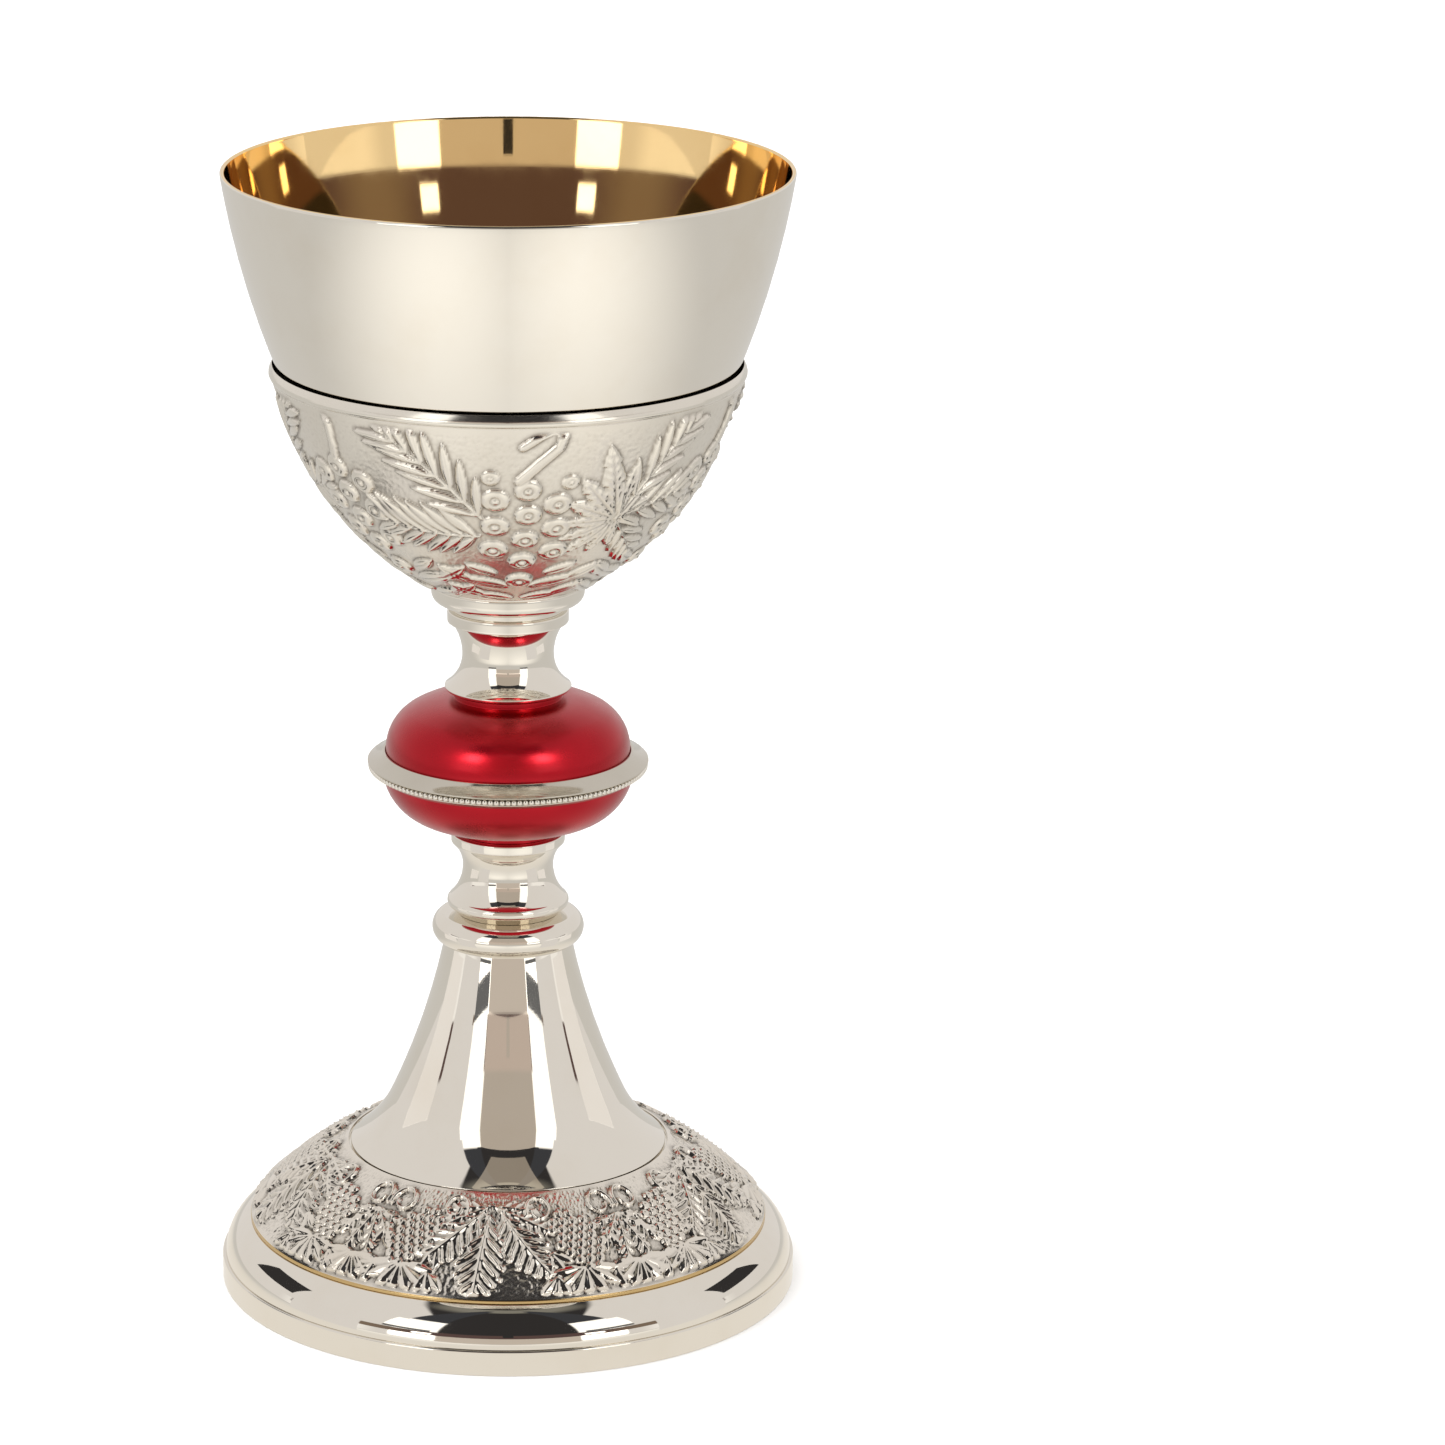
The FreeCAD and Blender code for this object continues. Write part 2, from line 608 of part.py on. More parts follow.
PIECES = [
    foot_ring(),
    foot_shell(),
    foot_relief_plate(),
    foot_trumpet(),
    stem_ring(),
    lower_spool(),
    knop_lower_shell(),
    knop_upper_shell(),
    knop_band(),
    knop_bead_wire(),
    knop_spacer_tube(),
    upper_spool(),
    calyx_collar(),
    calyx(),
    cup(),
    cup_boss(),
    tie_rod(),
    clamp_washer(),
    spring_washer(),
    tie_nut(),
]
doc.recompute()

for thing in doc.Objects:
    if "Invalid" in thing.State or "Error" in thing.State:
        raise RuntimeError("%s did not build: %s" % (thing.Label, thing.State))
for piece in PIECES:
    if piece.Shape.isNull() or not piece.Shape.isValid() or len(piece.Shape.Solids) != 1:
        raise RuntimeError("%s is not one valid solid" % piece.Label)

os.makedirs("parts", exist_ok=True)
for piece in PIECES:
    piece.Shape.exportStep("parts/%s.step" % piece.Label)
    box = piece.Shape.BoundBox
    print("%-20s %9.1f mm3  r %6.2f  z %6.2f to %6.2f"
          % (piece.Label, piece.Shape.Volume, box.XMax, box.ZMin, box.ZMax))
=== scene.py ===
import math

import bpy
import numpy as np
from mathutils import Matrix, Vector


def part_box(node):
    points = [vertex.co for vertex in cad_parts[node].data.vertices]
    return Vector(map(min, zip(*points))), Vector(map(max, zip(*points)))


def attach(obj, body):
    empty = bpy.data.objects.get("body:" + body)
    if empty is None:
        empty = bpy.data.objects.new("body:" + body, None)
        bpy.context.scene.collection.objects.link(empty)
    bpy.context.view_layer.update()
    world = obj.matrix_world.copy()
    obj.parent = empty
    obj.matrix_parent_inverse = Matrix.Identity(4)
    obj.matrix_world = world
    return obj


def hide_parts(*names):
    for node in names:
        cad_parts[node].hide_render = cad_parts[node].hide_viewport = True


# A communion chalice around its CAD frame.  Outlines are in millimetres, as radius
# and height, and run counter-clockwise with the metal on their left.  Angles are in
# degrees from the front (-Y) towards +X.

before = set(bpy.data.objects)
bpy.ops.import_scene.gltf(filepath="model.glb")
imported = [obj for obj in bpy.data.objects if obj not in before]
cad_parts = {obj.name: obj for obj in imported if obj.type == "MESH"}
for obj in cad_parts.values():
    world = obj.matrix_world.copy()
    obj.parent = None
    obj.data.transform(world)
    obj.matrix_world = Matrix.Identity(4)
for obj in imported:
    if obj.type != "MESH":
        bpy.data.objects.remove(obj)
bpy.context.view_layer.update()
MM = 0.001

AXIS = 1e-6             # a point nearer the axis than this is on it
SHARP_BEND = 9.0        # degrees: a corner that bends less isn't rounded
MOST_ROUNDING = 0.42    # share of an edge that a rounded corner may take
ARC_STEP = 3.0          # degrees between the points of an arc
LONG_STEP = 4.0         # mm between the points of a straight edge

BORE = 3.3              # radius of the hole that the tie rod goes through
BOSS_HOLE = 5.1         # radius of the hole that the cup's boss goes through
SEAM = 23.5             # radius of the knop where its two shells meet
KNOP_WALL = 1.0
BEAD = 0.58             # radius of the round beads
BEADS = 150


def cad_range(node):
    """(lowest z, highest z, largest radius) of a CAD node, in millimetres."""
    low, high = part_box(node)
    return low.z / MM, high.z / MM, high.x / MM


# ---------------------------------------------------------------- outlines

def to(r, z, soft=0.12):
    """A corner followed by a straight edge; soft is the rounding of the corner."""
    return (r, z, None, 0, soft)


def bulge(r, z, bow, soft=0.12):
    """A corner followed by an arc that swells out of the metal."""
    return (r, z, bow, 1, soft)


def hollow(r, z, bow, soft=0.12):
    """A corner followed by an arc that cuts into the metal."""
    return (r, z, bow, -1, soft)


def neck_bow(edge, neck):
    """Radius of the hollow arc between an edge and a neck where the side is upright."""
    out = edge[0] - neck[0]
    rise = edge[1] - neck[1]
    return (out * out + rise * rise) / (2 * out)


class Edge:
    """One straight or curved side of an outline, by distance along it."""

    def __init__(self, corner, ahead):
        self.start = np.array(corner[:2], float)
        self.end = np.array(ahead[:2], float)
        self.bow = corner[2]
        chord = self.end - self.start
        self.length = float(np.hypot(*chord))
        self.turn = 0.0
        if self.bow is not None:
            side = corner[3]
            left = np.array([-chord[1], chord[0]]) / self.length
            rise = math.sqrt(self.bow ** 2 - (self.length / 2) ** 2)
            self.centre = (self.start + self.end) / 2 + left * rise * side
            self.first = math.atan2(*(self.start - self.centre)[::-1])
            self.turn = side * 2 * math.asin(self.length / 2 / self.bow)
            self.length = abs(self.turn) * self.bow

    def at(self, share):
        """Points at these shares of the length."""
        share = np.asarray(share, float)[..., None]
        if self.bow is None:
            return self.start + (self.end - self.start) * share
        angle = self.first + self.turn * share
        return self.centre + self.bow * np.concatenate([np.cos(angle), np.sin(angle)], -1)

    def way(self, share):
        step = 1e-4
        ends = self.at([max(share - step, 0), min(share + step, 1)])
        way = ends[1] - ends[0]
        return way / np.hypot(*way)


def trace(corners, fine=None, spacing=0.28):
    """Dense points along a closed outline, its corners rounded, and the rows of the fine edge."""
    count = len(corners)
    edges = [Edge(corners[i], corners[(i + 1) % count]) for i in range(count)]
    softness = []
    for i, corner in enumerate(corners):
        before, after = edges[i - 1], edges[i]
        bend = np.dot(before.way(1.0), after.way(0.0))
        sharp = bend < math.cos(math.radians(SHARP_BEND)) and corner[0] > AXIS
        most = MOST_ROUNDING * min(before.length, after.length)
        softness.append(min(corner[4], most) if sharp else 0.0)
    points = []
    rows = (0, 0)
    for i, edge in enumerate(edges):
        after = softness[(i + 1) % count]
        low = softness[i] / edge.length
        high = 1 - after / edge.length
        if i == fine:
            steps = max(4, int(edge.length / spacing))
            share = np.linspace(low, high, steps + 1)
            rows = (len(points), len(points) + steps + 1)
        else:
            steps = max(4, int(abs(math.degrees(edge.turn)) / ARC_STEP), int(edge.length / LONG_STEP))
            share = low + (high - low) * (0.5 - 0.5 * np.cos(np.linspace(0, math.pi, steps + 1)))
        run = list(edge.at(share))
        if after == 0:
            run = run[:-1]
            if i == fine:
                rows = (rows[0], rows[1] - 1)
        points += run
        if after:
            corner = edge.end
            start = edge.at(high)
            ahead = edges[(i + 1) % count]
            end = ahead.at(after / ahead.length)
            for t in (0.25, 0.5, 0.75):
                points.append(start * (1 - t) ** 2 + corner * 2 * t * (1 - t) + end * t * t)
    return np.array(points), rows


def smooth_outline(corners):
    """Only the points of trace."""
    return trace(corners)[0]


def outward(points):
    """Unit normals of a closed outline, pointing out of the metal."""
    way = np.roll(points, -1, 0) - np.roll(points, 1, 0)
    way /= np.maximum(np.hypot(way[:, 0], way[:, 1]), 1e-9)[:, None]
    return np.stack([way[:, 1], -way[:, 0]], 1)


# ---------------------------------------------------------------- meshes

def mesh_object(name, places, faces):
    mesh = bpy.data.meshes.new(name)
    mesh.from_pydata(np.asarray(places, float) * MM, [], faces)
    mesh.validate()
    mesh.shade_smooth()
    thing = bpy.data.objects.new(name + "_visual", mesh)
    bpy.context.scene.collection.objects.link(thing)
    return thing


def ring_faces(low, high, columns, low_tip, high_tip):
    """Faces between two rings that start at these vertex numbers; a tip is one vertex."""
    k = np.arange(columns)
    n = (k + 1) % columns
    if low_tip and high_tip:
        return []
    if low_tip:
        return np.stack([np.full(columns, low), high + n, high + k], 1).tolist()
    if high_tip:
        return np.stack([low + k, low + n, np.full(columns, high)], 1).tolist()
    return np.stack([low + k, low + n, high + n, high + k], 1).tolist()


def turned(name, points, columns=256, rise=None, rows=(0, 0)):
    """A closed turned piece.  rise is a height field in mm over the rows of the outline."""
    angle = np.radians(np.arange(columns) * 360.0 / columns)
    normal = outward(points)
    places = []
    starts = []
    total = 0
    for i, (r, z) in enumerate(points):
        starts.append(total)
        if r < AXIS:
            places.append(np.array([[0.0, 0.0, z]]))
            total += 1
            continue
        lift = np.zeros(columns)
        if rise is not None and rows[0] <= i < rows[1]:
            lift = rise[i - rows[0]]
        radius = r + normal[i, 0] * lift
        level = z + normal[i, 1] * lift
        places.append(np.stack([radius * np.sin(angle), -radius * np.cos(angle), level], 1))
        total += columns
    faces = []
    for i in range(len(points)):
        j = (i + 1) % len(points)
        faces += ring_faces(starts[i], starts[j], columns, points[i, 0] < AXIS, points[j, 0] < AXIS)
    return mesh_object(name, np.concatenate(places), faces)


def settle(thing, node, slot, *materials):
    """The piece stands for its CAD node, rides the one body, and takes these materials."""
    for material in materials:
        thing.data.materials.append(material)
    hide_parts(node)
    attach(thing, "root")
    return thing


# ---------------------------------------------------------------- relief

def wrapped(angle, repeat):
    return (angle + repeat / 2) % repeat - repeat / 2


class Relief:
    """Heights in mm over one repeat of a raised pattern, on rows of a turned surface."""

    def __init__(self, points, repeat, columns):
        step = np.hypot(*np.diff(points, axis=0).T)
        self.along = np.concatenate([[0], np.cumsum(step)])
        self.radius = points[:, 0]
        self.level = points[:, 1]
        self.repeat = repeat
        self.angle = np.arange(columns) * repeat / columns
        self.height = np.zeros((len(points), columns))

    def along_at(self, z):
        order = np.argsort(self.level)
        return np.interp(z, self.level[order], self.along[order])

    def radius_at(self, z):
        order = np.argsort(self.level)
        return np.interp(z, self.level[order], self.radius[order])

    def level_at(self, along):
        return np.interp(along, self.along, self.level)

    def moved(self, spot, right, up):
        """The spot (angle, z) reached from another by going right and up in mm."""
        along = self.along_at(spot[1]) + up
        z = float(self.level_at(along))
        return (spot[0] + math.degrees(right / self.radius_at(z)), z)

    def local(self, spot):
        """Distances right of and above a spot, in mm, over the grid."""
        turn = np.radians(wrapped(self.angle[None, :] - spot[0], self.repeat))
        return self.radius[:, None] * turn, (self.along - self.along_at(spot[1]))[:, None] + 0 * turn

    def lay(self, height):
        self.height = np.maximum(self.height, height)

    def grape(self, spot, radius, height):
        right, up = self.local(spot)
        away = np.hypot(right, up)
        dome = np.sqrt(np.clip(1 - (away / radius) ** 2.4, 0, 1))
        mark = 0.15 * radius
        nub = 0.22 * height * np.exp(-(away / mark) ** 2)
        nub -= 0.3 * height * np.exp(-((away - 2.1 * mark) / (0.7 * mark)) ** 2)
        self.lay(np.where(away < radius, height * dome + nub * dome, 0))

    def blade(self, spot, heading, length, width, height, rib=0.0, vein=0.0, pitch=1.4,
              teeth=0, bend=0.0, full=0.45):
        """A pointed leaf or grain from its foot at spot; full is where it is widest."""
        right, up = self.local(spot)
        turn = math.radians(heading)
        along = right * math.cos(turn) + up * math.sin(turn)
        across = up * math.cos(turn) - right * math.sin(turn) - bend * (along / length) ** 2
        share = np.clip(along / length, 1e-4, 1 - 1e-4)
        front = full / (1 - full)
        half = (share / full) ** 0.75 * ((1 - share) / (1 - full)) ** (0.75 / front)
        if teeth:
            half = half * (1 - 0.28 * ((share * teeth) % 1.0))
        half = np.maximum(half * width, 1e-3)
        t = np.abs(across) / half
        inside = (t < 1) & (along > 0) & (along < length)
        dome = np.sqrt(np.clip(1 - t ** 2, 0, 1)) ** 0.8
        body = height * dome * (0.55 + 0.45 * np.sin(math.pi * share) ** 0.5)
        if rib:
            body = body + rib * np.exp(-(across / 0.26) ** 2) * (1 - 0.6 * share)
        if vein:
            wave = 0.5 + 0.5 * np.cos(2 * math.pi * (along - 0.9 * np.abs(across)) / pitch)
            body = body + vein * (wave ** 2.5 - 0.5) * np.clip(t * 3, 0, 1) * dome ** 0.5
        self.lay(np.where(inside, np.maximum(body, 0.05 * height), 0))

    def stroke(self, spots, width, height, tip=1.0):
        """A rounded stem along spots (angle, z), its end tip times as wide as its start."""
        spot = spots[0]
        right, up = self.local(spot)
        base = self.along_at(spot[1])
        line = [(math.radians(a - spot[0]) * self.radius_at(z), self.along_at(z) - base) for a, z in spots]
        reach = np.cumsum([0] + [math.dist(a, b) for a, b in zip(line, line[1:])])
        best = np.zeros_like(self.height)
        for i, (a, b) in enumerate(zip(line, line[1:])):
            way = np.array(b) - a
            long = max(float(way @ way), 1e-9)
            share = np.clip(((right - a[0]) * way[0] + (up - a[1]) * way[1]) / long, 0, 1)
            away = np.hypot(right - a[0] - share * way[0], up - a[1] - share * way[1])
            done = (reach[i] + share * (reach[i + 1] - reach[i])) / reach[-1]
            half = width * (1 + (tip - 1) * done)
            best = np.maximum(best, height * np.sqrt(np.clip(1 - (away / half) ** 2, 0, 1)))
        self.lay(best)

    def frond(self, spots, count, left, right, height):
        """Grains on both sides of a stem; left and right are (turn, length, width)."""
        for i in range(count):
            share = (i + 0.2) / count * (len(spots) - 1)
            k = min(int(share), len(spots) - 2)
            a, b = spots[k], spots[k + 1]
            part = share - k
            spot = (a[0] + (b[0] - a[0]) * part, a[1] + (b[1] - a[1]) * part)
            run = math.radians(b[0] - a[0]) * self.radius_at((a[1] + b[1]) / 2)
            heading = math.degrees(math.atan2(self.along_at(b[1]) - self.along_at(a[1]), run))
            shrink = 0.8 + 0.2 * math.sin(math.pi * (i + 1) / count)
            for turn, length, width in (left, right):
                self.blade(spot, heading + turn * (1 - 0.3 * i / count), length * shrink, width,
                           height, rib=0.14, full=0.5, bend=math.copysign(0.6, turn))
        self.stroke(spots, 0.4, height * 0.9, 0.5)
        self.blade(spots[-1], heading, left[1] * 0.5, left[2], height, rib=0.1)


def blurred(field, rows, columns):
    """The field smoothed over so many rows and columns; it wraps round sideways."""
    pad = int(3 * rows) + 1
    tall = np.pad(field, ((pad, pad), (0, 0)), mode="edge")
    down = np.fft.fftfreq(tall.shape[0])[:, None] * rows
    across = np.fft.fftfreq(tall.shape[1])[None, :] * columns
    keep = np.exp(-2 * math.pi ** 2 * (down ** 2 + across ** 2))
    return np.real(np.fft.ifft2(np.fft.fft2(tall) * keep))[pad:-pad]


def crevices(field, reach, depth):
    """0 on open surface to 1 in a hollow depth mm under what lies within reach rows."""
    return np.clip((blurred(field, reach, reach) - field) / depth, 0, 1)


def grain_noise(shape, cell, seed):
    """Smooth bumps between -1 and 1, cell samples across, that wrap round sideways."""
    draw = np.random.default_rng(seed).standard_normal(shape)
    rows = np.fft.fftfreq(shape[0])[:, None]
    columns = np.fft.fftfreq(shape[1])[None, :]
    keep = np.exp(-((rows ** 2 + columns ** 2) * (cell * 1.6) ** 2))
    field = np.real(np.fft.ifft2(np.fft.fft2(draw) * keep))
    return np.clip(field / (2.2 * field.std()), -1, 1)


def calyx_relief(points, columns):
    """Grapes, vine leaves and ears of wheat, three times round."""
    work = Relief(points, 120.0, columns // 3)
    # long leaves low down, round the collar
    for centre in (5.0, 69.0):
        for side in (-1, 1):
            heading = 90 - side * 78
            for out, level, length, width in ((1, 141.6, 9.0, 1.9), (3, 145.2, 11.0, 2.0),
                                              (16, 142.4, 9.0, 1.8), (19, 146.4, 9.0, 1.9),
                                              (9, 148.6, 7.0, 1.5)):
                work.blade((centre + side * out, level), heading + side * out, length, width, 0.72,
                           rib=-0.3, bend=side * 1.0)
    # ears that lean left
    work.frond([(-7.5, 162.0), (-15.5, 168.2), (-23.5, 174.0), (-31.0, 178.2)], 7,
               (36, 11.5, 1.0), (-33, 10.5, 1.0), 0.7)
    work.frond([(-9.0, 158.0), (-18.0, 158.0), (-28.0, 158.4), (-38.0, 159.6)], 7,
               (-44, 11.5, 1.15), (44, 8.5, 1.05), 0.7)
    # vine leaf with its foot at the middle of the fan
    heart = (33.0, 160.5)
    for heading, length, width in ((107, 18.5, 2.6), (84, 13.0, 1.7), (132, 14.0, 2.4), (155, 12.0, 2.2),
                                   (180, 11.0, 2.0), (205, 11.0, 1.9), (229, 11.5, 1.8), (252, 9.5, 1.6),
                                   (278, 8.0, 1.4)):
        work.blade(heart, heading, length, width, 0.75, rib=-0.28, vein=0.12, pitch=2.0, teeth=4, full=0.5)
    # ears that lean right
    work.frond([heart, (39.0, 167.5), (45.0, 173.5), (51.0, 178.0)], 6,
               (32, 9.5, 1.0), (-34, 9.5, 1.0), 0.7)
    work.frond([heart, (42.5, 162.0), (51.0, 163.0), (57.0, 163.5)], 5,
               (38, 9.0, 1.0), (-42, 8.5, 1.05), 0.66)
    work.frond([heart, (41.0, 155.5), (48.0, 152.0)], 4, (34, 7.0, 1.0), (-36, 6.5, 1.0), 0.6)
    # stems of the bunches
    work.stroke([(3.1, 170.0), (8.0, 173.6), (12.6, 176.8), (13.6, 179.3), (11.4, 180.4), (8.3, 179.4),
                 (5.6, 177.9), (3.6, 176.9)], 1.2, 0.7, 0.75)
    work.stroke([(69.0, 170.5), (70.5, 174.0), (71.0, 178.0), (69.6, 180.0)], 1.1, 0.7, 0.8)
    # bunches of grapes
    for spot in ((-4.6, 170.6), (16.6, 169.4)):
        work.grape(spot, 1.8, 0.6)
    for spot in ((-3.5, 165.9), (-3.9, 160.2), (-5.0, 154.8), (13.8, 164.9), (14.5, 159.6), (15.4, 154.2)):
        work.grape(spot, 2.75, 0.85)
    for spot in ((5.3, 168.0), (5.7, 162.7), (5.3, 157.2), (5.0, 152.0), (4.7, 147.0)):
        work.grape(spot, 2.6, 0.92)
    for spot in ((60.5, 167.2), (60.0, 161.4), (60.6, 155.6), (77.0, 167.0), (77.8, 161.2), (78.0, 155.4)):
        work.grape(spot, 2.7, 0.85)
    for spot in ((68.8, 169.2), (69.0, 164.0), (69.0, 158.6), (69.2, 153.2), (69.0, 148.0)):
        work.grape(spot, 2.6, 0.92)
    return finished(work, 3, 0.035, 0.01, 3, (0.5, 1.2))


def finished(work, times, ground_grain, raised_grain, seed, fade):
    """The whole turn of a relief, its ground grained, fading out at both edges."""
    field = np.tile(work.height, (1, times))
    ground = field < 0.04
    field = field + grain_noise(field.shape, 1.6, seed) * np.where(ground, ground_grain, raised_grain)
    edge = np.minimum(work.along, work.along[-1] - work.along)
    return field * np.clip((edge - fade[0]) / fade[1], 0, 1)[:, None] ** 1.5


def plate_relief(points, columns):
    """Vine leaves, bunches of small grapes and tendrils, five times round."""
    work = Relief(points, 72.0, columns // 5)
    # the large leaf, its foot towards the stem
    foot = (-5.0, 25.8)
    for heading, length, width in ((-170, 10.0, 2.6), (-150, 13.5, 3.6), (-28, 13.0, 3.6), (-8, 9.0, 2.4)):
        work.blade(foot, heading, length, width, 0.6, rib=0.4, vein=0.45, pitch=2.0, teeth=5, full=0.55)
    work.blade((-5.5, 24.6), -96, 18.5, 5.4, 0.72, rib=0.4, vein=0.55, pitch=2.4, teeth=7, full=0.6)
    work.blade((-6.5, 25.2), -128, 16.5, 5.2, 0.84, rib=0.45, vein=0.6, pitch=2.4, teeth=6,
               bend=-1.6, full=0.52)
    work.blade((-2.0, 25.2), -66, 18.0, 4.8, 0.88, rib=0.45, vein=0.6, pitch=2.4, teeth=7,
               bend=3.4, full=0.55)
    # the small leaf between two bunches
    foot = (32.5, 23.6)
    for heading, length, width in ((-160, 6.0, 1.5), (-130, 8.5, 2.1), (-102, 11.0, 2.3), (-75, 11.0, 2.3),
                                   (-48, 8.5, 2.1), (-20, 6.0, 1.5)):
        work.blade(foot, heading, length, width, 0.7, rib=0.35, vein=0.4, pitch=1.9, teeth=4, full=0.55)
    # pointed leaves near the outer edge, under the bunches
    for centre in (18.5, 46.0, 32.5):
        for heading in (-172, -148, -122, -94, -62, -34, -8):
            work.blade((centre, 17.2), heading, 7.2, 1.25, 0.75, rib=0.25, full=0.5)
    # tendrils by the stem
    for centre, side in ((9.5, 1), (29.0, -1), (38.5, 1), (56.0, -1)):
        curl = []
        for t in np.linspace(-1.9, 4.6, 18):
            wide = 1 - 0.09 * t
            curl.append((centre + side * 3.6 * math.sin(t) * wide, 25.3 + 1.5 * math.cos(t) * wide))
        work.stroke(curl, 0.55, 0.85, 0.6)
    # bunches of small grapes
    for centre, lean in ((19.0, 0.25), (46.0, -0.25)):
        for row, count in enumerate((2, 4, 5, 4, 5, 4, 3, 2, 1)):
            for k in range(count):
                up = 6.2 - 1.72 * row
                right = (k - (count - 1) / 2) * 2.0 - lean * up
                work.grape(work.moved((centre, 20.9), right, up), 1.1, 0.95)
    # short leaves that fill the ground
    for angle, level, heading in ((10.5, 19.5, -60), (11.5, 16.2, -100), (27.0, 22.0, -70),
                                  (38.5, 22.0, -110), (54.0, 20.0, -120), (53.0, 16.4, -80),
                                  (25.5, 16.4, -40), (39.5, 16.4, -140)):
        for turn in (-34, 0, 34):
            work.blade((angle, level), heading + turn, 5.0, 1.1, 0.6, rib=0.25, full=0.5)
    return finished(work, 5, 0.09, 0.015, 5, (0.3, 0.7))


# ---------------------------------------------------------------- materials

class Tree:
    """Short ways to write shader nodes."""

    def __init__(self, tree):
        self.tree = tree
        tree.nodes.clear()

    def node(self, kind, **settings):
        made = self.tree.nodes.new(kind)
        for name, value in settings.items():
            setattr(made, name, value)
        return made

    def feed(self, socket, value):
        if isinstance(value, bpy.types.NodeSocket):
            self.tree.links.new(value, socket)
        elif value is not None:
            socket.default_value = value

    def math(self, kind, a, b=None, c=None):
        made = self.node("ShaderNodeMath", operation=kind)
        for socket, value in zip(made.inputs, (a, b, c)):
            self.feed(socket, value)
        return made.outputs[0]

    def distance(self, x, y):
        """The length of the vector (x, y)."""
        squares = [self.math("MULTIPLY", value, value) for value in (x, y)]
        return self.math("SQRT", self.math("ADD", *squares))

    def vector(self, x, y, z):
        made = self.node("ShaderNodeCombineXYZ")
        for socket, value in zip(made.inputs, (x, y, z)):
            self.feed(socket, value)
        return made.outputs[0]

    def split(self, vector):
        made = self.node("ShaderNodeSeparateXYZ")
        self.feed(made.inputs[0], vector)
        return made.outputs

    def noise(self, vector, scale, detail=2.0, rough=0.5):
        made = self.node("ShaderNodeTexNoise")
        self.feed(made.inputs["Vector"], vector)
        made.inputs["Scale"].default_value = scale
        made.inputs["Detail"].default_value = detail
        made.inputs["Roughness"].default_value = rough
        return made.outputs[0]

    def span(self, value, low, high, to_low=0.0, to_high=1.0, smooth=True):
        made = self.node("ShaderNodeMapRange")
        made.interpolation_type = "SMOOTHSTEP" if smooth else "LINEAR"
        for name, number in (("Value", value), ("From Min", low), ("From Max", high),
                             ("To Min", to_low), ("To Max", to_high)):
            self.feed(made.inputs[name], number)
        return made.outputs[0]

    def mix(self, share, a, b):
        made = self.node("ShaderNodeMix", data_type="RGBA")
        self.feed(made.inputs[0], share)
        for socket, value in ((made.inputs[6], a), (made.inputs[7], b)):
            self.feed(socket, (*value, 1.0) if isinstance(value, tuple) else value)
        return made.outputs[2]

    def bump(self, height, distance, strength=1.0, under=None):
        made = self.node("ShaderNodeBump")
        made.inputs["Strength"].default_value = strength
        made.inputs["Distance"].default_value = distance
        self.feed(made.inputs["Height"], height)
        self.feed(made.inputs["Normal"], under)
        return made.outputs[0]

    def attribute(self, name):
        return self.node("ShaderNodeAttribute", attribute_name=name).outputs["Fac"]

    def place(self):
        return self.node("ShaderNodeTexCoord").outputs["Object"]


def metal(name, colour, dull, rough, turning=0.0, grain=0.0, grain_scale=2500.0, recess=None,
          coat=0.0, coat_rough=0.1):
    """A metal finish: colour and dull are its bright and its tarnished tone."""
    material = bpy.data.materials.new(name)
    material.use_nodes = True
    tree = Tree(material.node_tree)
    shader = tree.node("ShaderNodeBsdfPrincipled")
    shader.inputs["Metallic"].default_value = 1.0
    place = tree.place()
    x, y, z = tree.split(place)
    around = tree.distance(x, y)
    cloud = tree.noise(place, 45.0, 4.0, 0.6)
    tone = tree.mix(tree.span(cloud, 0.42, 0.78, 0.0, 0.5), colour, dull)
    if recess is not None:
        shade, share, ground_rough = recess
        tone = tree.mix(tree.math("MULTIPLY", tree.attribute("hollow"), share), tone, shade)
    tree.feed(shader.inputs["Base Color"], tone)
    haze = tree.noise(place, 160.0, 5.0, 0.65)
    haze = tree.span(haze, 0.3, 0.75, rough[0], rough[1])
    if recess is not None:
        matt = tree.span(tree.attribute("raised"), 0.02, 0.25, ground_rough, 0.0)
        haze = tree.math("ADD", haze, matt)
    tree.feed(shader.inputs["Roughness"], haze)
    normal = None
    if turning:
        rings = tree.noise(tree.vector(around, z, tree.math("MULTIPLY", x, 0.01)), 1600.0, 3.0, 0.7)
        normal = tree.bump(rings, turning)
    if grain:
        normal = tree.bump(tree.noise(place, grain_scale, 3.0, 0.7), grain, under=normal)
    if normal is not None:
        tree.feed(shader.inputs["Normal"], normal)
    if coat:
        shader.inputs["Coat Weight"].default_value = coat
        shader.inputs["Coat Roughness"].default_value = coat_rough
    out = tree.node("ShaderNodeOutputMaterial")
    tree.feed(out.inputs["Surface"], shader.outputs[0])
    return material


SILVER = metal("polished_silver", (0.84, 0.80, 0.725), (0.78, 0.72, 0.62), (0.02, 0.05), turning=6e-7)
SILVER_CUP = metal("cup_silver", (0.85, 0.81, 0.735), (0.80, 0.74, 0.64), (0.03, 0.07), turning=6e-7)
SATIN = metal("calyx_satin", (0.83, 0.785, 0.705), (0.77, 0.71, 0.61), (0.13, 0.2), grain=6e-6,
              recess=((0.20, 0.165, 0.13), 0.72, 0.14))
VINE = metal("vine_silver", (0.85, 0.80, 0.72), (0.78, 0.71, 0.60), (0.05, 0.11), grain=3e-6,
             recess=((0.10, 0.085, 0.07), 0.95, 0.12))
GOLD = metal("gilding", (0.95, 0.69, 0.34), (0.88, 0.60, 0.27), (0.03, 0.06), turning=5e-7)
RED = metal("red_enamel", (0.46, 0.002, 0.012), (0.36, 0.002, 0.009), (0.26, 0.34), grain=2e-6,
            coat=0.35, coat_rough=0.22)
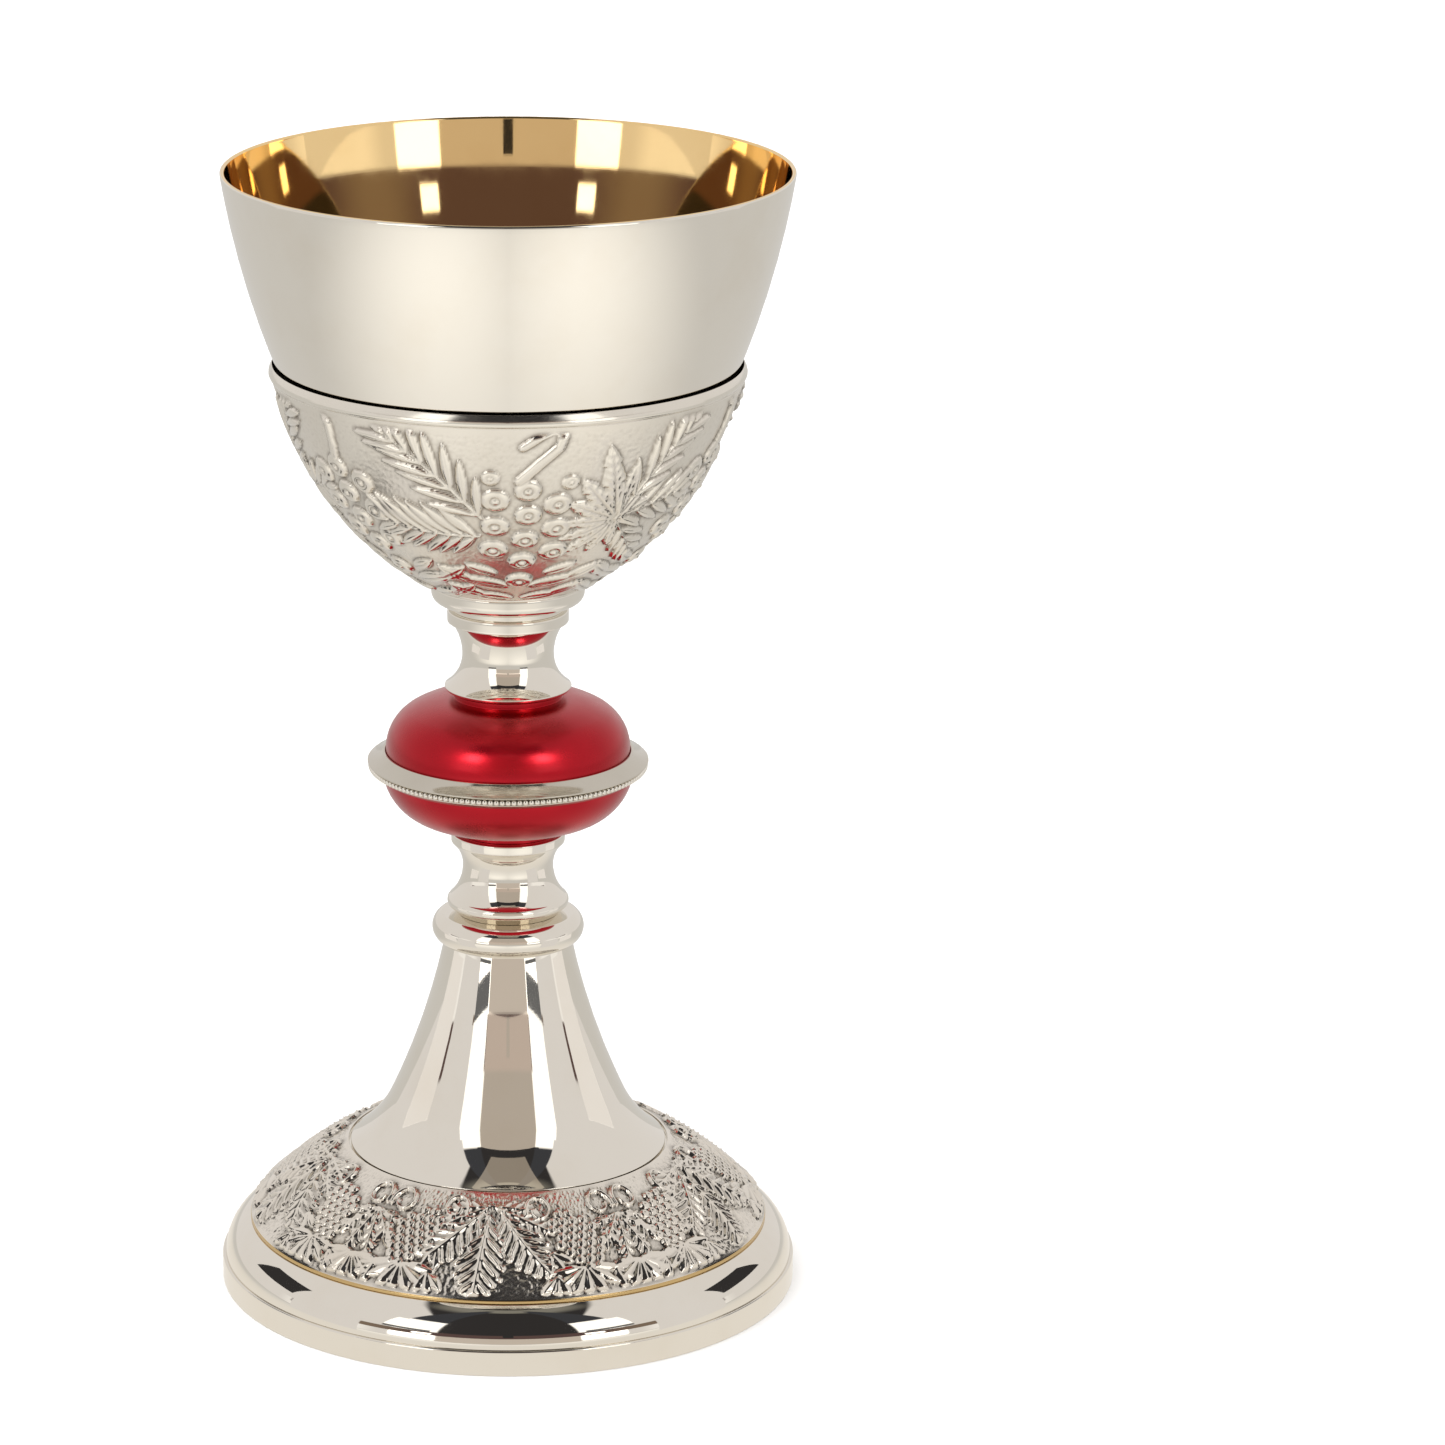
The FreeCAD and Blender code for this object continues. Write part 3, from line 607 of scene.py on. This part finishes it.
BAND = metal("band_silver", (0.63, 0.59, 0.515), (0.50, 0.45, 0.38), (0.07, 0.14), turning=6e-7)
SOFT = metal("soft_silver", (0.83, 0.79, 0.71), (0.77, 0.71, 0.61), (0.13, 0.2), turning=6e-7)
BRASS = metal("raw_brass", (0.66, 0.47, 0.22), (0.50, 0.35, 0.16), (0.12, 0.25), turning=2e-6)
STEEL = metal("zinc_steel", (0.62, 0.63, 0.64), (0.5, 0.5, 0.48), (0.2, 0.35), grain=3e-6)
# painted shade: a near-black metal for the bead wire's core, the calyx's side towards the cup and the
# cup's wall inside the calyx, where only shade falls
PAINTED_SHADE = metal("painted_shade_metal", (0.10, 0.085, 0.07), (0.05, 0.04, 0.03), (0.35, 0.5), grain=5e-6)


# ---------------------------------------------------------------- pieces

def foot_ring():
    low, high, edge = cad_range("foot_ring")
    inner = edge - 3.4
    points = smooth_outline([
        to(inner, low, 0.3),
        to(edge, low, 0.4),
        to(edge, high, 0.4),
        to(inner, high, 0.2),
    ])
    settle(turned("foot_ring", points), "foot_ring", "polished_silver", SILVER)


def foot_shell():
    low, high, edge = cad_range("foot_shell")
    points = smooth_outline([
        to(edge - 1.4, low),
        bulge(edge, low, 8.6),
        to(edge - 4.8, low + 7.3),
        bulge(edge - 6.0, low + 7.3, 79.0),
        to(edge - 23.3, high),
        to(BORE, high),
        to(BORE, high - 1.0),
        hollow(edge - 23.8, high - 1.0, 79.0),
        hollow(edge - 7.0, low + 6.3, 8.6),
    ])
    settle(turned("foot_shell", points), "foot_shell", "polished_silver", SILVER)


def store(thing, name, first_row, field, elsewhere):
    """Keep a field over the rows of a turned piece as an attribute for its material."""
    values = np.full(len(thing.data.vertices), elsewhere, np.float32)
    start = first_row * field.shape[1]
    values[start:start + field.size] = field.ravel()
    layer = thing.data.attributes.new(name, "FLOAT", "POINT")
    layer.data.foreach_set("value", values)


def foot_relief_plate():
    low, high, edge = cad_range("foot_relief_plate")
    inner = edge - 19.35
    columns, spacing = ((1280, 0.25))
    points, rows = trace([
        to(edge - 0.8, low),
        to(edge, low, 0.2),
        bulge(edge, low + 0.7, 79.0, 0.3),
        to(inner, high, 0.3),
        to(inner, high - 1.0),
        hollow(inner + 1.25, high - 1.0, 79.0),
    ], 2, spacing)
    rise = plate_relief(points[rows[0]:rows[1]], columns)
    thing = turned("foot_relief_plate", points, columns, rise, rows)
    store(thing, "hollow", rows[0], crevices(rise, 0.8 / spacing, 0.4), 0.0)
    store(thing, "raised", rows[0], rise, 0.5)
    thing.data.materials.append(VINE)
    brass_edge(thing, edge, low + 0.75)
    settle(thing, "foot_relief_plate", "relief_silver", BRASS)


def face_data(thing):
    """Middles (mm) and normals of a piece's faces, and how far each normal points outwards."""
    count = len(thing.data.polygons)
    middles = np.zeros(count * 3, np.float32)
    normals = np.zeros(count * 3, np.float32)
    thing.data.polygons.foreach_get("center", middles)
    thing.data.polygons.foreach_get("normal", normals)
    middles = middles.reshape(-1, 3) / MM
    normals = normals.reshape(-1, 3)
    reach = np.maximum(np.hypot(middles[:, 0], middles[:, 1]), AXIS)
    return middles, normals, (middles[:, 0] * normals[:, 0] + middles[:, 1] * normals[:, 1]) / reach


def brass_edge(thing, edge, top):
    """The plate's cut outer edge shows bare brass: material 1."""
    middles, _, _ = face_data(thing)
    outer = (np.hypot(middles[:, 0], middles[:, 1]) > edge - 0.35) & (middles[:, 2] < top)
    thing.data.polygons.foreach_set("material_index", outer.astype(np.int32))


def foot_trumpet():
    low, high, edge = cad_range("foot_trumpet")
    points = smooth_outline([
        to(edge - 2.0, low),
        to(edge, low),
        hollow(edge, low + 1.0, 23.5),
        hollow(22.94, low + 10.2, 138.5),
        to(12.42, high),
        to(BORE, high),
        to(BORE, high - 2.0),
        bulge(10.82, high - 2.0, 138.5),
        bulge(21.94, low + 10.2, 23.5),
    ])
    settle(turned("foot_trumpet", points), "foot_trumpet", "polished_silver", SILVER)


def stem_ring():
    low, high, _ = cad_range("stem_ring")
    points = smooth_outline([
        to(BORE, low),
        bulge(12.7, low, 3.1),
        to(12.7, high),
        to(BORE, high),
    ])
    settle(turned("stem_ring", points, 192), "stem_ring", "polished_silver", SILVER)


def lower_spool():
    low, high, _ = cad_range("lower_spool")
    neck = (8.75, low + 9.5)
    bead = (11.2, low + 3.4)
    flange = (11.0, low + 14.3)
    points = smooth_outline([
        to(BORE, low),
        to(9.8, low),
        bulge(11.2, low + 1.3, 1.25),
        hollow(*bead, neck_bow(bead, neck)),
        hollow(*neck, neck_bow(flange, neck)),
        to(*flange, 0.25),
        to(11.0, high, 0.4),
        to(BORE, high),
    ])
    settle(turned("lower_spool", points, 192), "lower_spool", "polished_silver", SILVER)


def knop_lower_shell():
    low, high, _ = cad_range("knop_lower_shell")
    points = smooth_outline([
        to(BORE, low),
        to(9.6, low),
        bulge(9.6, low + 0.9, 104.8),
        bulge(16.28, low + 2.8, 10.7),
        to(24.1, low + 11.7),
        to(SEAM, low + 11.7),
        to(SEAM, high),
        to(SEAM - KNOP_WALL, high),
        hollow(SEAM - KNOP_WALL, low + 11.7, 10.7),
        to(15.98, low + 3.8),
        to(7.0, low + 1.9),
        to(BORE, low + 1.9),
    ])
    settle(turned("knop_lower_shell", points), "knop_lower_shell", "red_enamel", RED)


def knop_upper_shell():
    low, high, _ = cad_range("knop_upper_shell")
    points = smooth_outline([
        to(SEAM - KNOP_WALL, low),
        to(SEAM, low),
        bulge(SEAM, low + 2.9, 8.85),
        bulge(19.08, low + 10.47, 20.4),
        to(10.4, low + 13.0),
        to(10.4, high),
        to(BORE, high),
        to(BORE, high - 2.8),
        hollow(10.4, high - 2.8, 20.4),
        hollow(18.38, low + 9.47, 8.85),
        to(SEAM - KNOP_WALL, low + 2.9),
    ])
    settle(turned("knop_upper_shell", points), "knop_upper_shell", "red_enamel", RED)


def knop_band():
    low, high, edge = cad_range("knop_band")
    points = smooth_outline([
        to(SEAM, low),
        to(24.6, low, 0.2),
        to(25.9, low + 0.9, 0.15),
        to(25.9, low + 1.1),
        to(25.75, low + 1.1),
        to(25.75, low + 2.4),
        to(26.9, low + 2.4, 0.2),
        hollow(edge, low + 2.75, 7.0, 0.3),
        to(24.1, high, 0.15),
        to(23.65, high),
        to(SEAM, high - 0.4),
    ])
    settle(turned("knop_band", points), "knop_band", "polished_silver", BAND)


def round_bead(middle, start):
    """Places and faces of one bead whose first vertex has the number start."""
    around, over = 18, 10
    places = [middle + (0, 0, -BEAD)]
    for i in range(1, over):
        lean = math.pi * i / over
        for j in range(around):
            side = 2 * math.pi * j / around
            way = (math.sin(lean) * math.cos(side), math.sin(lean) * math.sin(side), -math.cos(lean))
            places.append(middle + BEAD * np.array(way))
    places.append(middle + (0, 0, BEAD))
    faces = []
    for j in range(around):
        n = (j + 1) % around
        faces.append((start, start + 1 + n, start + 1 + j))
        for i in range(over - 2):
            a = start + 1 + i * around
            faces.append((a + j, a + n, a + around + n, a + around + j))
        top = start + 1 + (over - 2) * around
        faces.append((top + j, top + n, start + 1 + (over - 1) * around))
    return places, faces


def knop_bead_wire():
    """The wire rolled into round beads, joined by a thin core that is painted dark as shade."""
    low, high, edge = cad_range("knop_bead_wire")
    centre_z = (low + high) / 2
    radius = edge - (high - low) / 2
    places = []
    faces = []
    for k in range(BEADS):
        turn = 2 * math.pi * k / BEADS
        middle = np.array([radius * math.sin(turn), -radius * math.cos(turn), centre_z])
        bead_places, bead_faces = round_bead(middle, len(places))
        places += bead_places
        faces += bead_faces
    core, sides = 384, 8
    thick = 0.55 * BEAD
    start = len(places)
    for k in range(core):
        turn = 2 * math.pi * k / core
        for j in range(sides):
            lean = 2 * math.pi * j / sides
            r = radius + thick * math.cos(lean)
            level = centre_z + thick * math.sin(lean)
            places.append(np.array([r * math.sin(turn), -r * math.cos(turn), level]))
    for k in range(core):
        for j in range(sides):
            a = start + k * sides
            b = start + (k + 1) % core * sides
            n = (j + 1) % sides
            faces.append((a + j, b + j, b + n, a + n))
    thing = mesh_object("knop_bead_wire", places, faces)
    kind = np.zeros(len(thing.data.polygons), np.int32)
    # material 1, the core between the beads, is painted shade
    kind[-core * sides:] = 1
    thing.data.polygons.foreach_set("material_index", kind)
    settle(thing, "knop_bead_wire", "polished_silver", SILVER, PAINTED_SHADE)


def upper_spool():
    low, high, edge = cad_range("upper_spool")
    foot = (edge, low + 0.9)
    neck = (8.8, low + 7.2)
    cove = (10.95, low + 13.6)
    points = smooth_outline([
        to(BORE, low),
        bulge(edge - 0.7, low, 1.1),
        hollow(*foot, neck_bow(foot, neck)),
        hollow(*neck, neck_bow(cove, neck)),
        to(*cove),
        to(11.66, low + 13.6, 0.4),
        to(11.66, high, 0.4),
        to(BORE, high),
    ])
    settle(turned("upper_spool", points, 192), "upper_spool", "polished_silver", SILVER)


def calyx_collar():
    low, high, edge = cad_range("calyx_collar")
    points = smooth_outline([
        to(BORE, low),
        to(10.8, low),
        to(10.8, low + 1.4),
        bulge(13.2, low + 1.6, 2.0),
        to(edge, low + 3.4),
        to(edge, high, 0.35),
        to(BOSS_HOLE, high),
        to(BOSS_HOLE, low + 1.1),
        to(BORE, low + 1.1),
    ])
    settle(turned("calyx_collar", points, 192), "calyx_collar", "polished_silver", SILVER)


def calyx():
    """The relief runs over both arcs of the bowl, so they are traced as one even run."""
    low, high, _ = cad_range("calyx")
    knee = (36.5, low + 21.3)
    lip = high - 2.5
    corners = [
        to(BOSS_HOLE, low),
        to(15.1, low),
        bulge(15.1, low + 0.4, 60.1),
        bulge(*knee, 91.9),
        bulge(44.8, lip, 1.1),
        bulge(45.3, high - 1.5, 5.0, 0.3),
        to(44.65, high, 0.12),
        to(44.45, high - 0.4),
        hollow(43.75, lip, 91.9),
        hollow(knee[0] - 0.9, knee[1] + 0.3, 60.1),
        to(14.8, low + 0.9),
        to(BOSS_HOLE, low + 0.9),
    ]
    columns, spacing = ((960, 0.28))
    points = smooth_outline(corners)
    lower = Edge(corners[2], corners[3])
    upper = Edge(corners[3], corners[4])
    low_run = lower.at(np.linspace(0, 1, int(lower.length / spacing)))[1:-1]
    high_run = upper.at(np.linspace(0, 1, int(upper.length / spacing)))[:-1]
    outer = np.concatenate([low_run, high_run])
    start = int(np.argmin(np.hypot(*(points - lower.start).T)))
    stop = int(np.argmin(np.hypot(*(points - upper.end).T)))
    points = np.concatenate([points[:start + 1], outer, points[stop:]])
    rows = (start + 1, start + 1 + len(outer))
    rise = calyx_relief(outer, columns)
    thing = turned("calyx", points, columns, rise, rows)
    store(thing, "hollow", rows[0], crevices(rise, 0.5 / spacing, 0.2), 0.0)
    store(thing, "raised", rows[0], rise, 0.5)
    thing.data.materials.append(SATIN)
    middles, _, spread = face_data(thing)
    kind = np.zeros(len(middles), np.int32)
    # 1: the plain rolled lip; 2: the side towards the cup, painted dark as shade
    kind[middles[:, 2] > lip + 0.2] = 1
    kind[(spread < -0.3) & (middles[:, 2] > low + 1) & (middles[:, 2] < high - 0.3)] = 2
    thing.data.polygons.foreach_set("material_index", kind)
    settle(thing, "calyx", "relief_silver", SOFT, PAINTED_SHADE)


def cup():
    """Silver outside, gilt inside; the gilding starts on the crown of the rim. The wall hidden in the
    calyx is painted dark as shade.
    """
    low, high, edge = cad_range("cup")
    wall = 0.9
    shoulder = low + 36.0
    points = smooth_outline([
        to(0, low),
        bulge(8.0, low, 40.0),
        bulge(33.6, low + 15.6, 100.0),
        bulge(43.6, shoulder, 171.3),
        bulge(edge, high - wall / 2, wall / 2),
        bulge(edge - wall / 2, high, wall / 2),
        hollow(edge - wall, high - wall / 2, 171.3),
        hollow(43.6 - wall, shoulder, 100.0),
        hollow(32.88, low + 16.05, 40.0),
        to(8.0, low + wall),
        to(0, low + wall),
    ])
    thing = turned("cup", points, 384)
    thing.data.materials.append(SILVER_CUP)
    middles, normals, spread = face_data(thing)
    level = middles[:, 2]
    gilt = (spread < 0.55) & (level > high - wall / 2) | (spread < -0.02)
    gilt |= (normals[:, 2] > 0.5) & (level < low + 20)
    kind = gilt.astype(np.int32)
    # 2: the wall inside the calyx, up to just over its lip, painted dark as shade
    kind[(spread > 0) & (level < low + 37.4)] = 2
    thing.data.polygons.foreach_set("material_index", kind)
    settle(thing, "cup", "cup_silver_gilt", GOLD, PAINTED_SHADE)


for make in (foot_ring, foot_shell, foot_relief_plate, foot_trumpet, stem_ring, lower_spool,
             knop_lower_shell, knop_upper_shell, knop_band, knop_bead_wire, upper_spool, calyx_collar,
             calyx, cup):
    make()

for node, material in (("knop_spacer_tube", BRASS), ("cup_boss", BRASS), ("clamp_washer", BRASS),
                       ("tie_rod", STEEL), ("spring_washer", STEEL), ("tie_nut", STEEL)):
    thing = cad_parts[node]
    thing.data.materials.clear()
    thing.data.materials.append(material)


# ---------------------------------------------------------------- studio

# What the metal mirrors, by direction.  Colours are radiances, angles are degrees from
# the front and above the level, and cards near the object have a radius in metres.
PANEL = (0.80, 0.775, 0.76)
FRONT = (0.62, 0.55, 0.49)
STRIP = (1.5, 1.48, 1.45)
SLIT = (0.16, 0.16, 0.165)
LOW_STRIP = (3.0, 2.9, 2.8)
GAP = (0.035, 0.033, 0.034)
STRIP_FROM, STRIP_TO = 29.0, 48.0
FAR_CARD = 0.3
NEAR_CARD = 0.12
EDGE_FROM, EDGE_TO = 79.0, 104.0
EDGE_LOW, EDGE_HIGH = 0.034, 0.07


def glowing(name):
    """A material that shines evenly: its node tree and the socket of its colour."""
    material = bpy.data.materials.new(name)
    material.use_nodes = True
    tree = Tree(material.node_tree)
    shader = tree.node("ShaderNodeEmission")
    out = tree.node("ShaderNodeOutputMaterial")
    tree.feed(out.inputs["Surface"], shader.outputs[0])
    return material, tree, shader.inputs["Color"]


def hide_from(thing, *rays):
    for ray in rays:
        setattr(thing, "visible_" + ray, False)


def staged(name, places, faces, material):
    """An object of the studio, in metres, that isn't part of the chalice."""
    mesh = bpy.data.meshes.new(name)
    mesh.from_pydata(places, [], faces)
    mesh.materials.append(material)
    thing = bpy.data.objects.new(name, mesh)
    bpy.context.scene.collection.objects.link(thing)
    return thing


def floor():
    """The pale floor, and a glowing floor that the polished metal sees in its place, with painted pools of
    light and a painted shadow round the foot.
    """
    size = 12.0
    square = [(-size, -size, 0), (size, -size, 0), (size, size, 0), (-size, size, 0)]
    material = bpy.data.materials.new("floor")
    material.use_nodes = True
    tree = Tree(material.node_tree)
    shader = tree.node("ShaderNodeBsdfPrincipled")
    cloud = tree.noise(tree.place(), 3.0, 3.0)
    tree.feed(shader.inputs["Base Color"], tree.mix(cloud, (0.90, 0.90, 0.90), (0.91, 0.91, 0.91)))
    shader.inputs["Roughness"].default_value = 0.9
    shader.inputs["Specular IOR Level"].default_value = 0.1
    out = tree.node("ShaderNodeOutputMaterial")
    tree.feed(out.inputs["Surface"], shader.outputs[0])
    seen = staged("floor", square, [(0, 1, 2, 3)], material)
    seen.location.z = -0.00002
    hide_from(seen, "glossy")

    material, tree, socket = glowing("floor_in_reflections")
    x, y, _ = tree.split(tree.place())
    # painted light: two bright pools on the floor in front, to the left and right, fading out over 0.42 m
    beside = tree.math("SUBTRACT", tree.math("ABSOLUTE", x), 0.17)
    ahead = tree.math("ADD", y, 0.30)
    away = tree.distance(beside, ahead)
    painted_light_pool = tree.span(away, 0.0, 0.42, 1.0, 0.0)
    colour = tree.mix(painted_light_pool, (0.66, 0.645, 0.62), (1.16, 1.13, 1.07))
    # painted shadow: the floor round the foot, within 0.06 to 0.16 m of the axis, is held at a dimmer tone
    # than the pools
    near = tree.distance(x, y)
    colour = tree.mix(tree.span(near, 0.06, 0.16, 1.0, 0.0), colour, (0.88, 0.84, 0.78))
    tree.feed(socket, colour)
    mirrored = staged("floor_in_reflections", square, [(0, 1, 2, 3)], material)
    mirrored.location.z = -0.00003
    hide_from(mirrored, "camera", "diffuse", "shadow", "transmission")


def near_card(name, reach, start, stop, low, high, colour, steps=8):
    """A card bent round the object, seen only in its reflections, on both sides."""
    material, tree, socket = glowing(name)
    tree.feed(socket, (*colour, 1.0))
    places = []
    faces = []
    for side in (-1, 1):
        first = len(places)
        for i in range(steps + 1):
            turn = math.radians(start + (stop - start) * i / steps)
            for z in (low, high):
                places.append((side * reach * math.sin(turn), -reach * math.cos(turn), z))
        for i in range(steps):
            k = first + 2 * i
            faces.append((k, k + 2, k + 3, k + 1))
    thing = staged(name, places, faces, material)
    hide_from(thing, "camera", "diffuse", "shadow", "transmission")


def studio():
    """The surroundings: side panels with a strip box at their front edge, dark between them."""
    world = bpy.data.worlds.new("studio")
    bpy.context.scene.world = world
    world.use_nodes = True
    tree = Tree(world.node_tree)
    x, y, z = tree.split(tree.node("ShaderNodeTexCoord").outputs["Generated"])
    degree = 180 / math.pi
    # degrees to either side of the front, never negative, so a range from -10 starts at the front
    turn = tree.math("ARCTAN2", tree.math("ABSOLUTE", x), tree.math("MULTIPLY", y, -1.0))
    azimuth = tree.math("MULTIPLY", turn, degree)
    height = tree.math("MULTIPLY", tree.math("ARCSINE", z), degree)

    def inside(value, low, high, soft):
        up = tree.span(value, low - soft, low + soft)
        down = tree.span(value, high - soft, high + soft, 1.0, 0.0)
        return tree.math("MULTIPLY", up, down)

    def both(a, b):
        return tree.math("MULTIPLY", a, b)

    def falling(peak, rate):
        return both(tree.math("COSINE", both(azimuth, math.pi / 180 * rate)), peak)

    side = tree.math("SINE", tree.math("MULTIPLY", tree.math("SUBTRACT", azimuth, 15.0), math.pi / 180))
    crest = tree.math("MULTIPLY", tree.math("ARCTANGENT", tree.math("MULTIPLY", side, 3.3)), degree)
    over = tree.math("SUBTRACT", height, crest)
    colour = tree.mix(inside(over, 0.0, 60.0, 1.0), PANEL, GAP)
    colour = tree.mix(tree.span(height, 71.0, 80.0), colour, (0.24, 0.23, 0.20))
    # the gap in front: light low down, dark above
    middle = inside(azimuth, -10.0, STRIP_FROM, 0.6)
    colour = tree.mix(both(middle, tree.span(height, 17.6, 18.4, 1.0, 0.0)), colour, FRONT)
    colour = tree.mix(both(middle, inside(height, 18.0, 80.0, 0.4)), colour, GAP)
    # the strip boxes
    flank = inside(azimuth, STRIP_FROM, STRIP_TO, 0.6)
    colour = tree.mix(both(flank, inside(height, -5.0, 45.0, 0.7)), colour, STRIP)
    colour = tree.mix(both(flank, inside(height, 46.0, 84.0, 0.7)), colour, (0.05, 0.052, 0.06))
    colour = tree.mix(both(flank, inside(height, 3.0, 12.5, 0.7)), colour, LOW_STRIP)
    # the lit table beside the object
    table = both(inside(azimuth, 58.0, 98.0, 6.0), inside(height, -6.0, 11.0, 1.0))
    colour = tree.mix(table, colour, (1.02, 1.0, 0.98))
    # over the rim of the cup: a dark band that the near cards hide from the foot and stem
    start = falling(13.3, 0.69)
    stop = falling(21.5, 0.6)
    band = both(tree.span(tree.math("SUBTRACT", height, start), -0.25, 0.25),
                tree.span(tree.math("SUBTRACT", height, stop), -0.5, 0.5, 1.0, 0.0))
    band = both(band, inside(azimuth, -10.0, 96.0, 1.0))
    brown = tree.mix(inside(azimuth, 45.0, 75.0, 12.0), (0.11, 0.07, 0.066), (0.22, 0.165, 0.125))
    colour = tree.mix(band, colour, brown)
    above = tree.math("SUBTRACT", height, start)
    patch = both(inside(azimuth, 31.0, 39.0, 0.5), inside(above, 1.9, 5.0, 0.3))
    colour = tree.mix(patch, colour, LOW_STRIP)
    background = tree.node("ShaderNodeBackground")
    tree.feed(background.inputs["Color"], colour)
    out = tree.node("ShaderNodeOutputWorld")
    tree.feed(out.inputs["Surface"], background.outputs[0])


def near_cards():
    """Cards close by, which hide the dark band of the surroundings from the foot and stem."""
    near_card("side_card", FAR_CARD, STRIP_TO, 100.0, 0.117, 0.25, PANEL)
    near_card("side_low_card", NEAR_CARD, STRIP_TO, 76.0, 0.0, 0.08, PANEL)
    near_card("far_edge_card", NEAR_CARD, EDGE_FROM, EDGE_TO, EDGE_LOW, EDGE_HIGH, GAP, 1)
    near_card("strip_card", FAR_CARD, STRIP_FROM, STRIP_TO, 0.117, 0.25, STRIP)
    near_card("slit_card", FAR_CARD, STRIP_FROM, STRIP_TO, 0.098, 0.117, SLIT)
    near_card("camera_card", 1.25, 0.0, 2.1, 0.36, 0.49, GAP)


def lamps():
    """Soft light from overhead, and lit cards that only some of the pieces mirror."""
    lamp = bpy.data.lights.new("overhead", "SUN")
    lamp.energy = 3.2
    lamp.angle = math.radians(70)
    thing = bpy.data.objects.new("overhead", lamp)
    bpy.context.scene.collection.objects.link(thing)
    thing.rotation_euler = (math.radians(12), math.radians(-8), 0)
    hide_from(thing, "glossy")

    knop = ("knop_upper_shell", "knop_lower_shell")
    stem = ("foot_trumpet", "stem_ring", "lower_spool", "upper_spool", *knop)
    shaft = (*stem, "knop_band", "knop_bead_wire", "calyx_collar")
    upright = (math.radians(90), 0, 0)
    stem_lit = pieces(*stem)
    lamp_card("front_card", stem_lit, (0.0, -1.2, 0.8645), upright, 1.33, 1.031, (0.375, 0.33, 0.285))
    lamp_card("top_card", stem_lit, (0.0, -0.05, 1.7), (0, 0, 0), 0.8, 2.2, (0.22, 0.19, 0.155))
    knop_lit = pieces(*knop)
    lamp_card("knop_front_card", knop_lit, (0.0, -1.2, 0.9), upright, 0.5, 1.1, (2.2, 2.1, 2.0))
    # the shaft sees a light card where the foot sees the dark far_edge_card, just behind it
    shaft_lit = pieces(*shaft)
    half = math.radians((EDGE_TO - EDGE_FROM) / 2)
    in_front = 0.0004
    reach = NEAR_CARD * math.cos(half) - in_front
    for side in (-1, 1):
        turn = math.radians(side * (EDGE_FROM + EDGE_TO) / 2)
        place = (reach * math.sin(turn), -reach * math.cos(turn), (EDGE_LOW + EDGE_HIGH) / 2)
        lamp_card("edge_cover", shaft_lit, place, (math.radians(90), 0, turn),
                  2 * NEAR_CARD * math.sin(half), EDGE_HIGH - EDGE_LOW, (0.70, 0.675, 0.655))
    for side in (-1, 1):
        turn = math.radians(side * 37)
        place = (1.2 * math.sin(turn), -1.2 * math.cos(turn), 0.75)
        lamp_card("knop_strip", knop_lit, place, (math.radians(75), 0, turn), 0.34, 0.75, (5.0, 4.9, 4.8))


def pieces(*names):
    """A collection of some of the chalice's pieces, for a lamp to be limited to."""
    some = bpy.data.collections.new("lit_pieces")
    for name in names:
        some.objects.link(bpy.data.objects[name + "_visual"])
    return some


def lamp_card(name, receivers, place, turn, width, height, colour):
    """A lit card that only some pieces mirror."""
    lamp = bpy.data.lights.new(name, "AREA")
    lamp.shape = "RECTANGLE"
    lamp.size = width
    lamp.size_y = height
    lamp.color = [value / max(colour) for value in colour]
    lamp.energy = 4 * width * height * max(colour)
    thing = bpy.data.objects.new(name, lamp)
    bpy.context.scene.collection.objects.link(thing)
    thing.location = place
    thing.rotation_euler = turn
    hide_from(thing, "camera")
    thing.light_linking.receiver_collection = receivers


def camera():
    """Just over a metre in front, looking down by 16 degrees, the object left of centre."""
    away, height, aim = 1.140, 0.4422, 0.1121
    lens = bpy.data.cameras.new("camera")
    lens.sensor_width = 36.0
    lens.lens = 153.94
    lens.shift_x = 0.1484
    lens.clip_start = 0.05
    thing = bpy.data.objects.new("camera", lens)
    bpy.context.scene.collection.objects.link(thing)
    thing.location = (0.0, -away, height)
    drop = math.atan2(height - aim, away)
    thing.rotation_euler = (math.pi / 2 - drop, 0.0, 0.0)
    bpy.context.scene.camera = thing


floor()
studio()
near_cards()
lamps()
camera()
bpy.context.scene.view_settings.view_transform = "Standard"
